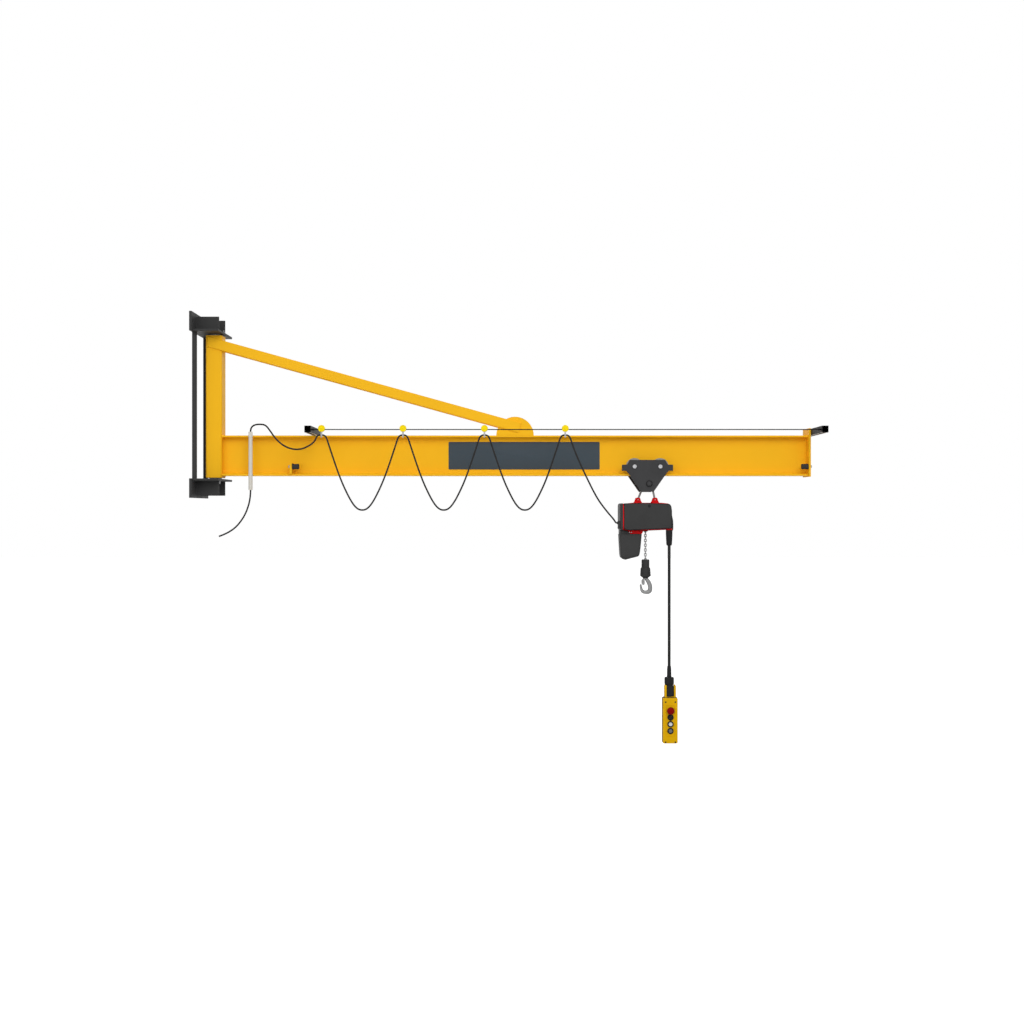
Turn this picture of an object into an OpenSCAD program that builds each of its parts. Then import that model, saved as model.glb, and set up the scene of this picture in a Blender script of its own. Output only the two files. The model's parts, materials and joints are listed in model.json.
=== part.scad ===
// Wall-mounted slewing jib crane with an electric chain hoist.
// Origin: centre of the lower wall plate's back face. +X runs out along the jib, +Z is up.
// All sizes are in millimetres.

/* [Wall brackets] */
// Width of each wall plate
wall_plate_w = 385; // [370:5:440]
// Height of each wall plate
wall_plate_h = 95; // [88:1:110]
// Thickness of each wall plate
wall_plate_t = 12; // [8:1:16]
// Distance between the centres of the two wall plates
bracket_rise = 815; // [780:5:900]
// Distance between a plate's two anchor holes
anchor_spacing = 320; // [300:5:335]
// Diameter of the anchor holes
anchor_hole_d = 22; // [14:1:26]
// How far the bearing plates reach out from the wall plates
shelf_reach = 126; // [118:1:132]
// Width of the bearing plates
shelf_w = 344; // [330:2:348]
// Thickness of the bearing plates
shelf_t = 10; // [8:1:14]
// Length of the side plates
cheek_l = 110; // [90:2:116]
// Height of the side plates
cheek_h = 72; // [50:1:74]
// Thickness of the side plates
cheek_t = 10; // [6:1:12]
// Distance between the inner faces of a bracket's side plates
cheek_gap = 140; // [120:2:160]
// Diameter of the spacer bars
spacer_d = 24; // [16:1:30]
// Distance between the spacer bars
spacer_spacing = 252; // [236:2:280]

/* [Slewing column] */
// Distance from the wall to the slewing axis
slew_x = 90; // [88:1:94]
// Column size along the jib
col_l = 80; // [70:1:84]
// Column size across the jib
col_w = 100; // [90:1:110]
// Column wall
col_t = 5; // [4:0.5:8]
// Outer corner radius of the column
col_r = 9; // [8.5:0.5:12]
// Radius of the pivot pins
pin_r = 15; // [12:0.5:18]
// Radius of the pins' thrust collars
collar_r = 30; // [26:1:34]
// Thickness of the thrust collars
collar_t = 6; // [4:0.5:8]
// Depth of the bearing blocks in the column's ends
block_h = 30; // [25:1:40]

/* [Jib beam] */
// Distance from the wall to the end of the beam
jib_reach = 3040; // [3000:10:3200]
// Depth of the beam section
beam_h = 200; // [190:2:210]
// Flange width
beam_b = 100; // [94:1:104]
// Web thickness
beam_tw = 5.6; // [5:0.1:7]
// Flange thickness
beam_tf = 8.5; // [7:0.5:10]
// Root fillet radius
beam_r = 12; // [8:1:14]
// Height of the beam's underside above the lower bearing plate
beam_lift = 16; // [12:1:24]
// Thickness of the end plate
end_plate_t = 10; // [8:1:14]
// Width of the end plate
end_plate_w = 150; // [146:2:160]
// Height of the end plate
end_plate_h = 240; // [236:2:250]
// How far the end plate reaches below the beam
end_plate_drop = 5; // [2:1:10]
// Length of the bare panel on the web
panel_l = 755; // [700:5:780]
// Height of the bare panel
panel_h = 138; // [120:1:145]
// Thickness of the bare panel
panel_t = 1.5; // [1:0.5:3]
// Distance from the wall to the panel
panel_x = 1254; // [1240:1:1270]

/* [Tie bars] */
// Height of the tie bars' section
tie_h = 48; // [40:1:56]
// Thickness of the tie bars
tie_t = 8; // [6:0.5:12]
// Distance from the column's top down to the tie bars' upper edge
tie_drop = 6.5; // [4:0.5:20]
// Distance from the wall to the gusset's centre
gusset_x = 1586; // [1560:2:1610]
// Radius of the half-round gusset plates
gusset_r = 93; // [88:1:100]
// Thickness of the gusset plates
gusset_t = 10; // [8:1:14]
// How far the tie bars run past the gusset's centre
tie_past = 29.6; // [20:0.2:34]
// Height of the tie bars' top corner above the beam
tie_rise = 61.2; // [56:0.2:66]

/* [Stops and festoon line] */
// Distance from the wall to the inner stop plates
stop_x = 470; // [460:1:480]
// Thickness of the stop plates
stop_t = 11; // [8:1:14]
// Height of the stop plates
stop_h = 54.5; // [50:0.5:60]
// How far the stop plates reach from the web's middle
stop_w = 72; // [70:1:74]
// Diameter of the rubber buffers
buffer_d = 28; // [24:1:32]
// Length of the rubber buffers
buffer_l = 34; // [28:1:36]
// Distance from the web's middle to the buffers' axes
buffer_y = 57; // [55:1:58]
// Width of the festoon arms' rail
arm_w = 30; // [26:1:34]
// Height of the festoon arms' rail
arm_h = 32; // [30:1:34]
// Wall of the festoon arms' rail
arm_t = 2.5; // [2:0.5:4]
// Slot in the rail's underside
arm_slot = 14; // [10:1:18]
// Thickness of the cap on the rail's front end
arm_cap_t = 4; // [3:0.5:6]
// Distance from the wall to the inner arm
arm_x = 581; // [576:1:586]
// Reach of the arms in front of the web's middle
arm_front = 330; // [324:1:340]
// Reach of the arms behind the web's middle
arm_back = 50; // [44:1:56]
// Diameter of the guide wire
wire_d = 4; // [3:0.5:5]
// Distance from the web's middle to the guide wire
wire_y = 300; // [298:1:302]
// Height of the guide wire above the beam
wire_rise = 15; // [12:0.5:16]
// Diameter of the cable carriers' rollers
roller_d = 38; // [34:1:40]
// Width of the cable carriers' rollers
roller_w = 16; // [12:1:20]
// Height of the roller's centre above the wire
roller_rise = 5; // [3:0.5:6]
// Radius of the carriers' cable clamps
clamp_r = 7; // [6:0.5:9]
// Diameter of the festoon cable
cable_d = 8; // [7:0.5:9]
// Diameter of the conduit
conduit_d = 20; // [16:1:22]

/* [Trolley] */
// Thickness of the trolley's side plates
side_t = 8; // [6:0.5:10]
// Distance between the inner faces of the side plates
side_gap = 120; // [120:1:124]
// Distance from the trolley's middle to its axles
axle_x = 63.8; // [58:0.2:68]
// Radius of the axles
axle_r = 10; // [8:0.5:12]
// Tread radius of the wheels
wheel_r = 36.4; // [32:0.2:38]
// Tread width of the wheels
tread_w = 20; // [16:1:22]
// Flange height of the wheels above their tread
wheel_flange = 5.6; // [4:0.2:7]
// Radius of the cross pin
cross_pin_r = 12; // [10:0.5:13]

/* [Hoist] */
// Diameter of the suspension bail's bar
bail_d = 10; // [8:0.5:12]
// Length of the hoist's frame and covers
hoist_l = 229; // [220:1:235]
// Depth of the hoist, front to back
hoist_w = 180; // [170:2:190]
// Depth of the hoist's frame between its two covers
frame_w = 94; // [88:2:110]
// Height of the hoist
hoist_h = 139.5; // [136:0.5:143]
// Height of the rounded corners of the band and end cap
hoist_r = 18; // [12:1:24]
// Width of the coloured band
band_l = 9.5; // [8:0.5:12]
// Length of the left end cap
cap_l = 10; // [8:0.5:13]
// Depth of the chain bag, front to back
bag_w = 110; // [100:2:120]
// Height of the chain bag
bag_h = 128.5; // [120:0.5:132]
// Wall of the chain bag
bag_t = 3; // [2:0.5:5]

/* [Chain and hook] */
// Diameter of the chain's wire
link_d = 4; // [3.6:0.1:4.2]
// Pitch of the chain
link_p = 12; // [12:0.5:13]
// Outer width of a link
link_w = 13.6; // [13.6:0.1:15]
// Radius of the hook's bar
hook_r = 8; // [7:0.5:9]
// Radius of the hook's bowl, to the middle of the bar
bowl_r = 24; // [23:0.5:26]

/* [Pendant] */
// Width of the pendant box
box_w = 73; // [68:1:78]
// Height of the pendant box
box_h = 225; // [215:1:235]
// Depth of the pendant box
box_d = 60; // [50:2:66]
// Diameter of the pendant cable
drop_cable_d = 15; // [13:0.5:16]
// Radius of the push buttons
button_r = 9.5; // [8:0.5:10]
// Radius of the stop button's head
stop_head_r = 18.5; // [16:0.5:20]
// Distance between neighbouring buttons
button_pitch = 33.5; // [33:0.5:36]

/* [Hidden] */
$fn = 48;
run_gap = 0.3;      // running gap between moving faces
fit_gap = 0.1;      // gap of a fixed pin in its hole
bore_gap = 0.05;    // radial clearance of a turning bore

shelf_top = wall_plate_h / 2;
shelf_bottom = bracket_rise - wall_plate_h / 2;
col_bottom_z = shelf_top + collar_t + run_gap;
col_top_z = shelf_bottom - collar_t - run_gap;
beam_z = shelf_top + beam_lift;
beam_top = beam_z + beam_h;
flange_top = beam_z + beam_tf;
wire_z = beam_top + wire_rise;
outer_arm_x = jib_reach + end_plate_t;
wheel_z = flange_top + run_gap + wheel_r;
buffer_z = wheel_z;
stop_face = stop_x + stop_t;

// Trolley and hoist places, from the trolley's middle
trolley_x = 2242;
trolley_top = wheel_z + 32.8;
cross_x = trolley_x + 8.6;
cross_z = wheel_z - 84.7;
hoist_x = trolley_x - 117;
hoist_top = cross_z - 94.5;
hoist_bottom = hoist_top - hoist_h;
hoist_mid = (hoist_top + hoist_bottom) / 2;
frame_l = hoist_x - band_l;
cap_x = frame_l - cap_l;
lug_rise = 15.5;
lug_left = [trolley_x - 42.5, hoist_top + lug_rise];
lug_right = [trolley_x + 43, hoist_top + lug_rise];
chain_x = trolley_x - 4;
chain_hole_r = link_w / 2 + run_gap;
lug_pin_r = 6;
bag_top = hoist_bottom - 16;

// Hook block and chain
block_top = hoist_bottom - 143.5;
block_bottom = block_top - 94;
link_gap = 0.3;
link_count = 18;
first_link = block_top - 1;
anchor_pin_r = link_d / 2 - 0.1;
hook_shank_r = 7;
hook_mid = [chain_x + 2, block_bottom - 41.5];
neck_z = block_bottom - 10.5;
hook_tip_a = 175;
hook_back_a = 65;
latch_pin = [chain_x - 9, block_bottom - 13];
latch_pin_r = 2.5;
latch_l = 27;

// Pendant
drop = [hoist_x + hoist_l - 4, -60];
sleeve_top = hoist_bottom + 5;
sleeve_h = 77;
cover_low = hoist_bottom + 11.5;
chute_l = 100;
boot_top = -878;
box_x = drop[0] + 3;
box_top = -1035;
box_front = drop[1] - box_d / 2;
stop_z = box_top - 61.5;
hoop_rise = 71;
hoop_base = 6;
hoop_half = 30;

cable_z = 252;
clamp_l = 6;
conduit_x = 275;
clamp_x = [659, 1049, 1439, 1826];
gland_x = 2092;

// Routes of the free cables
tail_route = [[275, -60.3, -7.8], [275, -60.3, -18], [274, -60, -30], [273, -60, -45],
    [270, -60, -62], [266, -60, -80], [260, -60, -98], [253, -60, -117], [244, -60, -135],
    [234, -60, -152], [222, -60, -168], [209, -60, -184], [194, -60, -198], [177, -60, -210],
    [158, -60, -221], [138, -60, -230], [119, -60, -237]];
lead_route = [[275, -60.3, 281.3], [275, -60.3, 289], [280, -62, 304], [292, -65, 313], [308, -71, 317],
    [328, -78, 317], [346, -85, 315], [361, -92, 306], [378, -102, 285], [401, -116, 254],
    [424, -130, 230], [452, -146, 209], [487, -168, 193], [524, -192, 187], [560, -217, 191],
    [589, -240, 204], [611, -261, 221], [626, -279, 238], [634, -290, 248],
    [643, -297, 251.5], [650, -300, 252], [655.7, -300, 252]];
half_loop = [[-191.7, 252], [-190.5, 252], [-182, 250], [-174.5, 244], [-170, 235.5], [-160, 204], [-146, 162], [-130, 114],
    [-113, 66], [-95, 20], [-76, -21], [-57, -58], [-38, -87], [-19, -104]];
last_route = [[1829.3, -300, 252], [1830.5, -300, 252], [1839, -300, 250], [1846.5, -300, 244],
    [1851, -300, 235.5], [1861, -300, 205],
    [1875, -299, 168], [1893, -297, 125], [1913, -292, 82], [1936, -280, 36], [1961, -259, -12],
    [1986, -230, -54], [2010, -193, -84.5], [2034, -153, -112], [2054, -118, -133],
    [2069, -88, -147.5], [2079, -70, -160], [2085.5, -60.5, -170], [2091.7, -60, -171]];
drop_route = [for (z = concat([for (i = [0:14]) sleeve_top - sleeve_h - 38 * i],
    [boot_top + 30, boot_top])) [drop[0], drop[1], z]];

function unit(v) = v / norm(v);
function mirrored(half, z) = concat(
    [for (p = half) p], [[0, z]], [for (i = [len(half) - 1:-1:0]) [-half[i][0], half[i][1]]]);
function loop_route(i) = [for (p = mirrored(half_loop, -108))
    [(clamp_x[i] + clamp_x[i + 1]) / 2 + p[0] * (clamp_x[i + 1] - clamp_x[i] - clamp_l) / 384,
        -wire_y, p[1]]];
function heading(route, i) = unit(route[min(i + 1, len(route) - 1)] - route[max(i - 1, 0)]);

// Extrudes a shape drawn in Y and Z along +X from x
module along_x(x, l) translate([x, 0, 0]) rotate([90, 0, 90]) linear_extrude(l) children();
// Extrudes a shape drawn in X and Z along +Y from y
module along_y(y, l) translate([0, y + l, 0]) rotate([90, 0, 0]) linear_extrude(l) children();
module rod_x(x, l, r) translate([x, 0, 0]) rotate([0, 90, 0]) cylinder(h = l, r = r);
module rod_y(y, l, r) translate([0, y, 0]) rotate([-90, 0, 0]) cylinder(h = l, r = r);

module rounded(w, h, r) {
    square([w - 2 * r, h], center = true);
    square([w, h - 2 * r], center = true);
    for (x = [-1, 1], y = [-1, 1])
        translate([x * (w / 2 - r), y * (h / 2 - r)]) circle(r);
}

// Sweeps a round cable or bar of diameter d along the points of a route
module cable(route, d, sides = 8) {
    n = len(route);
    rings = [for (i = [0:n - 1])
        let (t = heading(route, i),
             up = abs(t[1]) < 0.9 ? [0, 1, 0] : [0, 0, 1],
             a = unit(cross(up, t)),
             b = cross(t, a))
        for (k = [0:sides - 1])
            route[i] + d / 2 * (cos(360 * k / sides) * a + sin(360 * k / sides) * b)];
    faces = concat(
        [for (i = [0:n - 2], k = [0:sides - 1], t = [0, 1])
            let (p = i * sides + k, q = i * sides + (k + 1) % sides)
            t == 0 ? [p, p + sides, q + sides] : [p, q + sides, q]],
        [[for (k = [0:sides - 1]) k]],
        [[for (k = [sides - 1:-1:0]) (n - 1) * sides + k]]);
    polyhedron(points = rings, faces = faces, convexity = 6);
}

// ---- Wall brackets ----
module wall_plate(z) {
    color([0.22, 0.22, 0.22]) translate([0, 0, z]) difference() {
        translate([0, -wall_plate_w / 2, -wall_plate_h / 2])
            cube([wall_plate_t, wall_plate_w, wall_plate_h]);
        for (s = [-1, 1])
            translate([0, s * anchor_spacing / 2, 0])
                rod_x(-1, wall_plate_t + 2, anchor_hole_d / 2);
    }
}

module upper_wall_plate() wall_plate(bracket_rise);
module lower_wall_plate() wall_plate(0);

module bearing_plates() {
    color([0.24, 0.24, 0.24]) for (z = [shelf_top - shelf_t, shelf_bottom])
        difference() {
            translate([wall_plate_t, -shelf_w / 2, z]) cube([shelf_reach, shelf_w, shelf_t]);
            translate([slew_x, 0, z - 1]) cylinder(h = shelf_t + 2, r = pin_r + fit_gap);
        }
}

module side_plates() {
    color([0.22, 0.22, 0.22])
        for (z = [shelf_top - shelf_t - cheek_h, shelf_bottom + shelf_t], s = [-1, 1])
            translate([wall_plate_t, s * (cheek_gap + cheek_t) / 2 - cheek_t / 2, z])
                cube([cheek_l, cheek_t, cheek_h]);
}

module spacer_bars() {
    color([0.25, 0.25, 0.25]) for (s = [-1, 1])
        translate([wall_plate_t, s * spacer_spacing / 2, shelf_top])
            cylinder(h = shelf_bottom - shelf_top, d = spacer_d);
}

// Welded pin: a head outside the bearing plate, a thrust collar inside it and the journal
module pivot_pin() {
    head_t = 10;
    translate([0, 0, -shelf_t - head_t]) cylinder(h = head_t, r = pin_r + 8);
    translate([0, 0, -shelf_t]) cylinder(h = shelf_t, r = pin_r);
    cylinder(h = collar_t, r = collar_r);
    cylinder(h = collar_t + block_h - 2, r = pin_r);
}

module pivot_pins() {
    color([0.55, 0.55, 0.55]) {
        translate([slew_x, 0, shelf_top]) pivot_pin();
        translate([slew_x, 0, shelf_bottom]) mirror([0, 0, 1]) pivot_pin();
    }
}

// ---- Slewing column ----
module column() {
    color([0.93, 0.69, 0.13]) translate([slew_x, 0, col_bottom_z])
        linear_extrude(col_top_z - col_bottom_z) difference() {
            rounded(col_l, col_w, col_r);
            rounded(col_l - 2 * col_t, col_w - 2 * col_t, col_r - col_t);
        }
}

module bearing_blocks() {
    color([0.88, 0.65, 0.12]) for (z = [col_bottom_z, col_top_z - block_h])
        translate([slew_x, 0, z]) linear_extrude(block_h) difference() {
            rounded(col_l - 2 * (col_t + fit_gap), col_w - 2 * (col_t + fit_gap), col_r - col_t);
            circle(pin_r + bore_gap);
        }
}

// ---- Jib ----
module i_section() {
    for (z = [0, beam_h - beam_tf]) translate([-beam_b / 2, z]) square([beam_b, beam_tf]);
    translate([-beam_tw / 2, 0]) square([beam_tw, beam_h]);
    for (s = [0, 1], t = [0, 1])
        mirror([s, 0]) translate([0, t * beam_h]) mirror([0, t])
            translate([beam_tw / 2, beam_tf]) difference() {
                square(beam_r);
                translate([beam_r, beam_r]) circle(beam_r);
            }
}

module beam() {
    color([0.93, 0.69, 0.13]) translate([0, 0, beam_z])
        along_x(slew_x + col_l / 2, jib_reach - slew_x - col_l / 2) i_section();
}

module end_plate() {
    color([0.93, 0.69, 0.13]) translate([jib_reach, -end_plate_w / 2, beam_z - end_plate_drop])
        cube([end_plate_t, end_plate_w, end_plate_h]);
}

module tie_bars() {
    a = [slew_x - 29, col_top_z - tie_drop];
    b = [gusset_x + tie_past, beam_top + tie_rise];
    along = unit(b - a);
    down = [along[1], -along[0]];
    color([0.93, 0.69, 0.13]) for (y = [-col_w / 2 - tie_t, col_w / 2])
        along_y(y, tie_t) polygon([a, b, b + tie_h * down, [a[0], a[1] - tie_h / along[0]]]);
}

module gusset_plates() {
    color([0.90, 0.66, 0.12]) for (y = [-col_w / 2, col_w / 2 - gusset_t])
        translate([gusset_x, 0, beam_top]) along_y(y, gusset_t) intersection() {
            circle(gusset_r);
            translate([-gusset_r, 0]) square([2 * gusset_r, gusset_r]);
        }
}

module stop_plates() {
    color([0.93, 0.69, 0.13]) for (s = [0, 1]) mirror([0, s, 0])
        translate([0, 0, flange_top]) along_x(stop_x, stop_t) polygon([
            [beam_tw / 2, beam_r], [beam_tw / 2 + beam_r, 0], [stop_w, 0], [stop_w, stop_h],
            [beam_tw / 2, stop_h]]);
}

module buffers() {
    color([0.22, 0.21, 0.2]) for (s = [-1, 1], x = [stop_face, jib_reach - buffer_l])
        translate([0, s * buffer_y, buffer_z]) rod_x(x, buffer_l, buffer_d / 2);
}

// Rail section open below, drawn from its lower left corner
module rail_section() {
    difference() {
        square([arm_w, arm_h]);
        translate([arm_t, arm_t]) square([arm_w - 2 * arm_t, arm_h - 2 * arm_t]);
        translate([(arm_w - arm_slot) / 2, -1]) square([arm_slot, arm_t + 2]);
    }
}

module festoon_arms() {
    color([0.12, 0.12, 0.12]) for (x = [arm_x, outer_arm_x]) translate([x, 0, beam_top]) {
        along_y(-arm_front + arm_cap_t, arm_front + arm_back - arm_cap_t) rail_section();
        translate([0, -arm_front, 0]) cube([arm_w, arm_cap_t, arm_h]);
    }
}

module guide_wire() {
    color([0.45, 0.45, 0.45]) translate([0, -wire_y, wire_z])
        rod_x(arm_x + arm_w, outer_arm_x - arm_x - arm_w, wire_d / 2);
}

module conduit() {
    color([0.78, 0.78, 0.78]) translate([conduit_x, -beam_b / 2 - run_gap - conduit_d / 2, -7.5])
        cylinder(h = beam_top + 17.5 + 7.5, d = conduit_d);
}

module name_panel() {
    color([0.26, 0.3, 0.33])
        translate([panel_x, -beam_tw / 2 - panel_t, beam_z + (beam_h - panel_h) / 2 + 1.25])
            cube([panel_l, panel_t, panel_h]);
}

// Cable carrier: a disc that the guide wire runs through, with a cable clamp below it
module carrier(x, hole_r) {
    color([0.98, 0.88, 0.1]) translate([x, -wire_y, 0]) {
        difference() {
            translate([0, 0, wire_z + roller_rise])
                rod_y(-roller_w / 2, roller_w, roller_d / 2);
            translate([0, 0, wire_z]) rod_x(-roller_d, 2 * roller_d, hole_r);
        }
        along_y(-2, 4) polygon([
            [-3, wire_z - 8], [3, wire_z - 8], [6, cable_z + clamp_r - 2],
            [-6, cable_z + clamp_r - 2]]);
        translate([0, 0, cable_z]) rod_x(-clamp_l / 2, clamp_l, clamp_r);
    }
}

module end_clamp() carrier(clamp_x[0], wire_d / 2 + fit_gap);
module carrier_1() carrier(clamp_x[1], wire_d / 2 + 0.5);
module carrier_2() carrier(clamp_x[2], wire_d / 2 + 0.5);
module carrier_3() carrier(clamp_x[3], wire_d / 2 + 0.5);

module supply_tail() color([0.15, 0.15, 0.15]) cable(tail_route, cable_d);
module lead_in() color([0.15, 0.15, 0.15]) cable(lead_route, cable_d);
module loop_1() color([0.15, 0.15, 0.15]) cable(loop_route(0), cable_d);
module loop_2() color([0.15, 0.15, 0.15]) cable(loop_route(1), cable_d);
module loop_3() color([0.15, 0.15, 0.15]) cable(loop_route(2), cable_d);
module last_span() color([0.15, 0.15, 0.15]) cable(last_route, cable_d);

// ---- Trolley ----
// Half outline of a side plate, from the top middle to the bottom middle
half_side = [[87, trolley_top], [100, wheel_z + 10], [126.6, wheel_z + 9], [126.6, wheel_z - 21],
    [106, wheel_z - 21], [94, wheel_z - 34], [36, cross_z - 33], [30, cross_z - 40]];

module side_plate(y) {
    outline = concat(half_side, [for (i = [len(half_side) - 1:-1:0])
        [-half_side[i][0], half_side[i][1]]]);
    color([0.24, 0.24, 0.25]) difference() {
        translate([trolley_x, 0, 0]) along_y(y, side_t) polygon(outline);
        for (s = [-1, 1])
            translate([trolley_x + s * axle_x, 0, wheel_z])
                rod_y(y - 1, side_t + 2, axle_r + fit_gap);
        translate([cross_x, 0, cross_z]) rod_y(y - 1, side_t + 2, cross_pin_r + fit_gap);
    }
}

module front_side_plate() side_plate(-side_gap / 2 - side_t);
module back_side_plate() side_plate(side_gap / 2);

// Stub axle: a washer head outside the side plate, the journal runs inwards through the wheel
module axles() {
    color([0.75, 0.75, 0.76]) for (s = [-1, 1], m = [0, 1])
        translate([trolley_x + s * axle_x, 0, wheel_z]) mirror([0, m, 0]) {
            rod_y(-side_gap / 2 - side_t - 4, side_t + 4 + side_gap / 2 - 26, axle_r);
            rod_y(-28 + run_gap, 3, axle_r + 5);
        }
}

module cross_pin() {
    reach = side_gap / 2 + side_t;
    color([0.5, 0.5, 0.5]) translate([cross_x, 0, cross_z]) {
        rod_y(-reach - 5, 2 * reach + 10, cross_pin_r);
        for (y = [-side_gap / 2, 9]) rod_y(y, side_gap / 2 - 9, cross_pin_r + 5);
    }
}

module wheel(s, m) {
    tread_y = 28 + tread_w;
    outer_y = side_gap / 2 - 2;
    color([0.55, 0.55, 0.56]) translate([trolley_x + s * axle_x, 0, wheel_z]) mirror([0, m, 0])
        difference() {
            union() {
                rod_y(-outer_y, outer_y - 28, wheel_r);
                rod_y(-outer_y, outer_y - max(tread_y, beam_b / 2) - 2, wheel_r + wheel_flange);
            }
            rod_y(-outer_y - 1, outer_y, axle_r + bore_gap);
        }
}

module wheel_1() wheel(-1, 0);
module wheel_2() wheel(1, 0);
module wheel_3() wheel(-1, 1);
module wheel_4() wheel(1, 1);

// ---- Hoist ----
// Angle at which a bar from point p meets a round of radius r about the origin
function tangent_angle(p, r, side) = atan2(p[1], p[0]) + side * acos(r / norm(p));

module bar(a, b, r) {
    v = [b[0] - a[0], 0, b[1] - a[1]];
    translate([a[0], 0, a[1]]) rotate([0, atan2(v[0], v[2]), 0]) cylinder(h = norm(v), r = r);
}

// A round bar bent over the cross pin, with an eye at each end for a lug pin
module bail() {
    r = cross_pin_r + run_gap + bail_d / 2;
    c = [cross_x, cross_z];
    left = tangent_angle(lug_left - c, r, -1) + 360;
    right = tangent_angle(lug_right - c, r, 1);
    steps = 10;
    bend = [for (i = [0:steps]) let (a = left + (right - left) * i / steps)
        c + r * [cos(a), sin(a)]];
    route = [for (p = concat([lug_left], bend, [lug_right])) [p[0], 0, p[1]]];
    color([0.6, 0.6, 0.6]) difference() {
        union() {
            cable(route, bail_d, 12);
            for (p = [lug_left, lug_right])
                translate([p[0], 0, p[1]]) rod_y(-bail_d / 2, bail_d, 11);
        }
        for (p = [lug_left, lug_right])
            translate([p[0], 0, p[1]]) rod_y(-bail_d, 2 * bail_d, lug_pin_r + run_gap);
    }
}

module hoist_section(trim) rounded(hoist_w - trim, hoist_h - 6 - trim, hoist_r);

// Each corner moves in by the same distance from both of its sides
function drawn_in(outline, by) = let (n = len(outline)) [for (i = [0:n - 1]) let (
    a = unit(outline[i] - outline[(i + n - 1) % n]), b = unit(outline[(i + 1) % n] - outline[i]),
    p = [-a[1], a[0]], q = [-b[1], b[0]]) outline[i] + by * (p + q) / (1 + p * q)];

// A block along Y from an outline in X and Z, with its front edge bevelled
module bevelled(outline, y, depth, edge) {
    n = len(outline);
    points = [for (ring = [[y, edge], [y + edge, 0], [y + depth, 0]],
        p = drawn_in(outline, ring[1])) [p[0], ring[0], p[1]]];
    sides = [for (k = [0, 1], i = [0:n - 1])
        [k * n + i, k * n + (i + 1) % n, (k + 1) * n + (i + 1) % n, (k + 1) * n + i]];
    polyhedron(points, concat([[for (i = [n - 1:-1:0]) i]], sides,
        [[for (i = [0:n - 1]) 2 * n + i]]));
}

// Side outline of the two dark covers
cover_outline = [[hoist_x, hoist_bottom + 17], [hoist_x + 4, hoist_bottom + 9],
    [hoist_x + 13, hoist_bottom + 5], [hoist_x + 35, hoist_bottom + 3.5],
    [hoist_x + hoist_l - 24, cover_low], [hoist_x + hoist_l + 2, cover_low],
    [hoist_x + hoist_l + 7, hoist_bottom + 15], [hoist_x + hoist_l + 8, hoist_bottom + 22],
    [hoist_x + hoist_l + 7, hoist_top - 39.5], [hoist_x + hoist_l + 4, hoist_top - 19.5],
    [hoist_x + hoist_l - 1, hoist_top - 9.5], [hoist_x + hoist_l - 8, hoist_top - 6],
    [hoist_x + hoist_l / 2, hoist_top - 2], [hoist_x, hoist_top - 3.5]];

module hoist_housing() {
    color([0.25, 0.25, 0.25]) for (m = [0, 1]) mirror([0, m, 0])
        bevelled(cover_outline, -hoist_w / 2, (hoist_w - frame_w) / 2, 5);
}

// Frame between the covers, with the band at its left end and the boss over the pendant's sleeve
module hoist_band() {
    right = hoist_x + hoist_l;
    color([0.85, 0.1, 0.1]) difference() {
        union() {
            along_y(-frame_w / 2, frame_w) polygon([
                [hoist_x - 1, hoist_bottom + 5], [hoist_x + 12, hoist_bottom],
                [hoist_x + chute_l + 2, hoist_bottom], [right - 6, hoist_bottom + 5.5],
                [right, hoist_bottom + 8], [right, hoist_top - 8], [right - 8, hoist_top - 3.5],
                [right - 40, hoist_top], [hoist_x + 45, hoist_top],
                [hoist_x - 1, hoist_top - 4.5]]);
            translate([0, 0, hoist_mid]) along_x(frame_l, band_l) hoist_section(4);
            translate([drop[0], drop[1], sleeve_top])
                cylinder(h = cover_low - sleeve_top, r = 16);
        }
        translate([chain_x, 0, hoist_bottom - 1])
            cylinder(h = hoist_h - 14, r = chain_hole_r);
    }
}

// End cap, with a foot that closes the gap above the chain bag
module hoist_end_cap() {
    color([0.25, 0.25, 0.25]) {
        translate([0, 0, hoist_mid]) {
            along_x(cap_x + 4, cap_l - 4) hoist_section(0);
            along_x(cap_x, 4) hoist_section(10);
        }
        along_y(1 - bag_w / 2, bag_w - 2) polygon([
            [cap_x + 2, hoist_bottom + 22], [cap_x + 2, bag_top + run_gap],
            [hoist_x + 36.5, bag_top + run_gap], [hoist_x + 24.5, hoist_bottom - 9.3],
            [hoist_x + 20.5, hoist_bottom - run_gap], [hoist_x + 9, hoist_bottom - run_gap],
            [hoist_x - 2, hoist_bottom + 2], [frame_l, hoist_bottom + 2],
            [frame_l, hoist_bottom + 22]]);
    }
}

module hoist_motor_cover() {
    x = hoist_x + hoist_l;
    low = hoist_bottom - 2;
    color([0.23, 0.23, 0.23]) along_y(-42, 84) polygon([
        [x, low], [x + 15, low], [x + 18, low + 7], [x + 19, low + 16], [x + 19, low + 34],
        [x + 18, low + 54], [x + 13, low + 78], [x + 7, low + 103], [x + 4, hoist_top - 18],
        [x, hoist_top - 13]]);
}

module hoist_lugs() {
    color([0.85, 0.1, 0.1]) for (p = [lug_left, lug_right]) translate([p[0], 0, hoist_top]) {
        for (y = [-14, 7]) along_y(y, 7) polygon([
            [-20, 0], [20, 0], [11, lug_rise + 10], [-11, lug_rise + 10]]);
        translate([-20, -14, 0]) cube([40, 28, 4]);
        translate([0, 0, lug_rise]) rod_y(-17, 34, lug_pin_r);
    }
}

module chain_chute() {
    z = hoist_bottom;
    x = hoist_x;
    color([0.85, 0.1, 0.1]) along_y(-35, 70) polygon([
        [x + 21, z], [x + 25, z - 9], [x + 38, bag_top], [x + chute_l - 10.5, bag_top],
        [x + chute_l - 5, z - 8], [x + chute_l, z]]);
}

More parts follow.
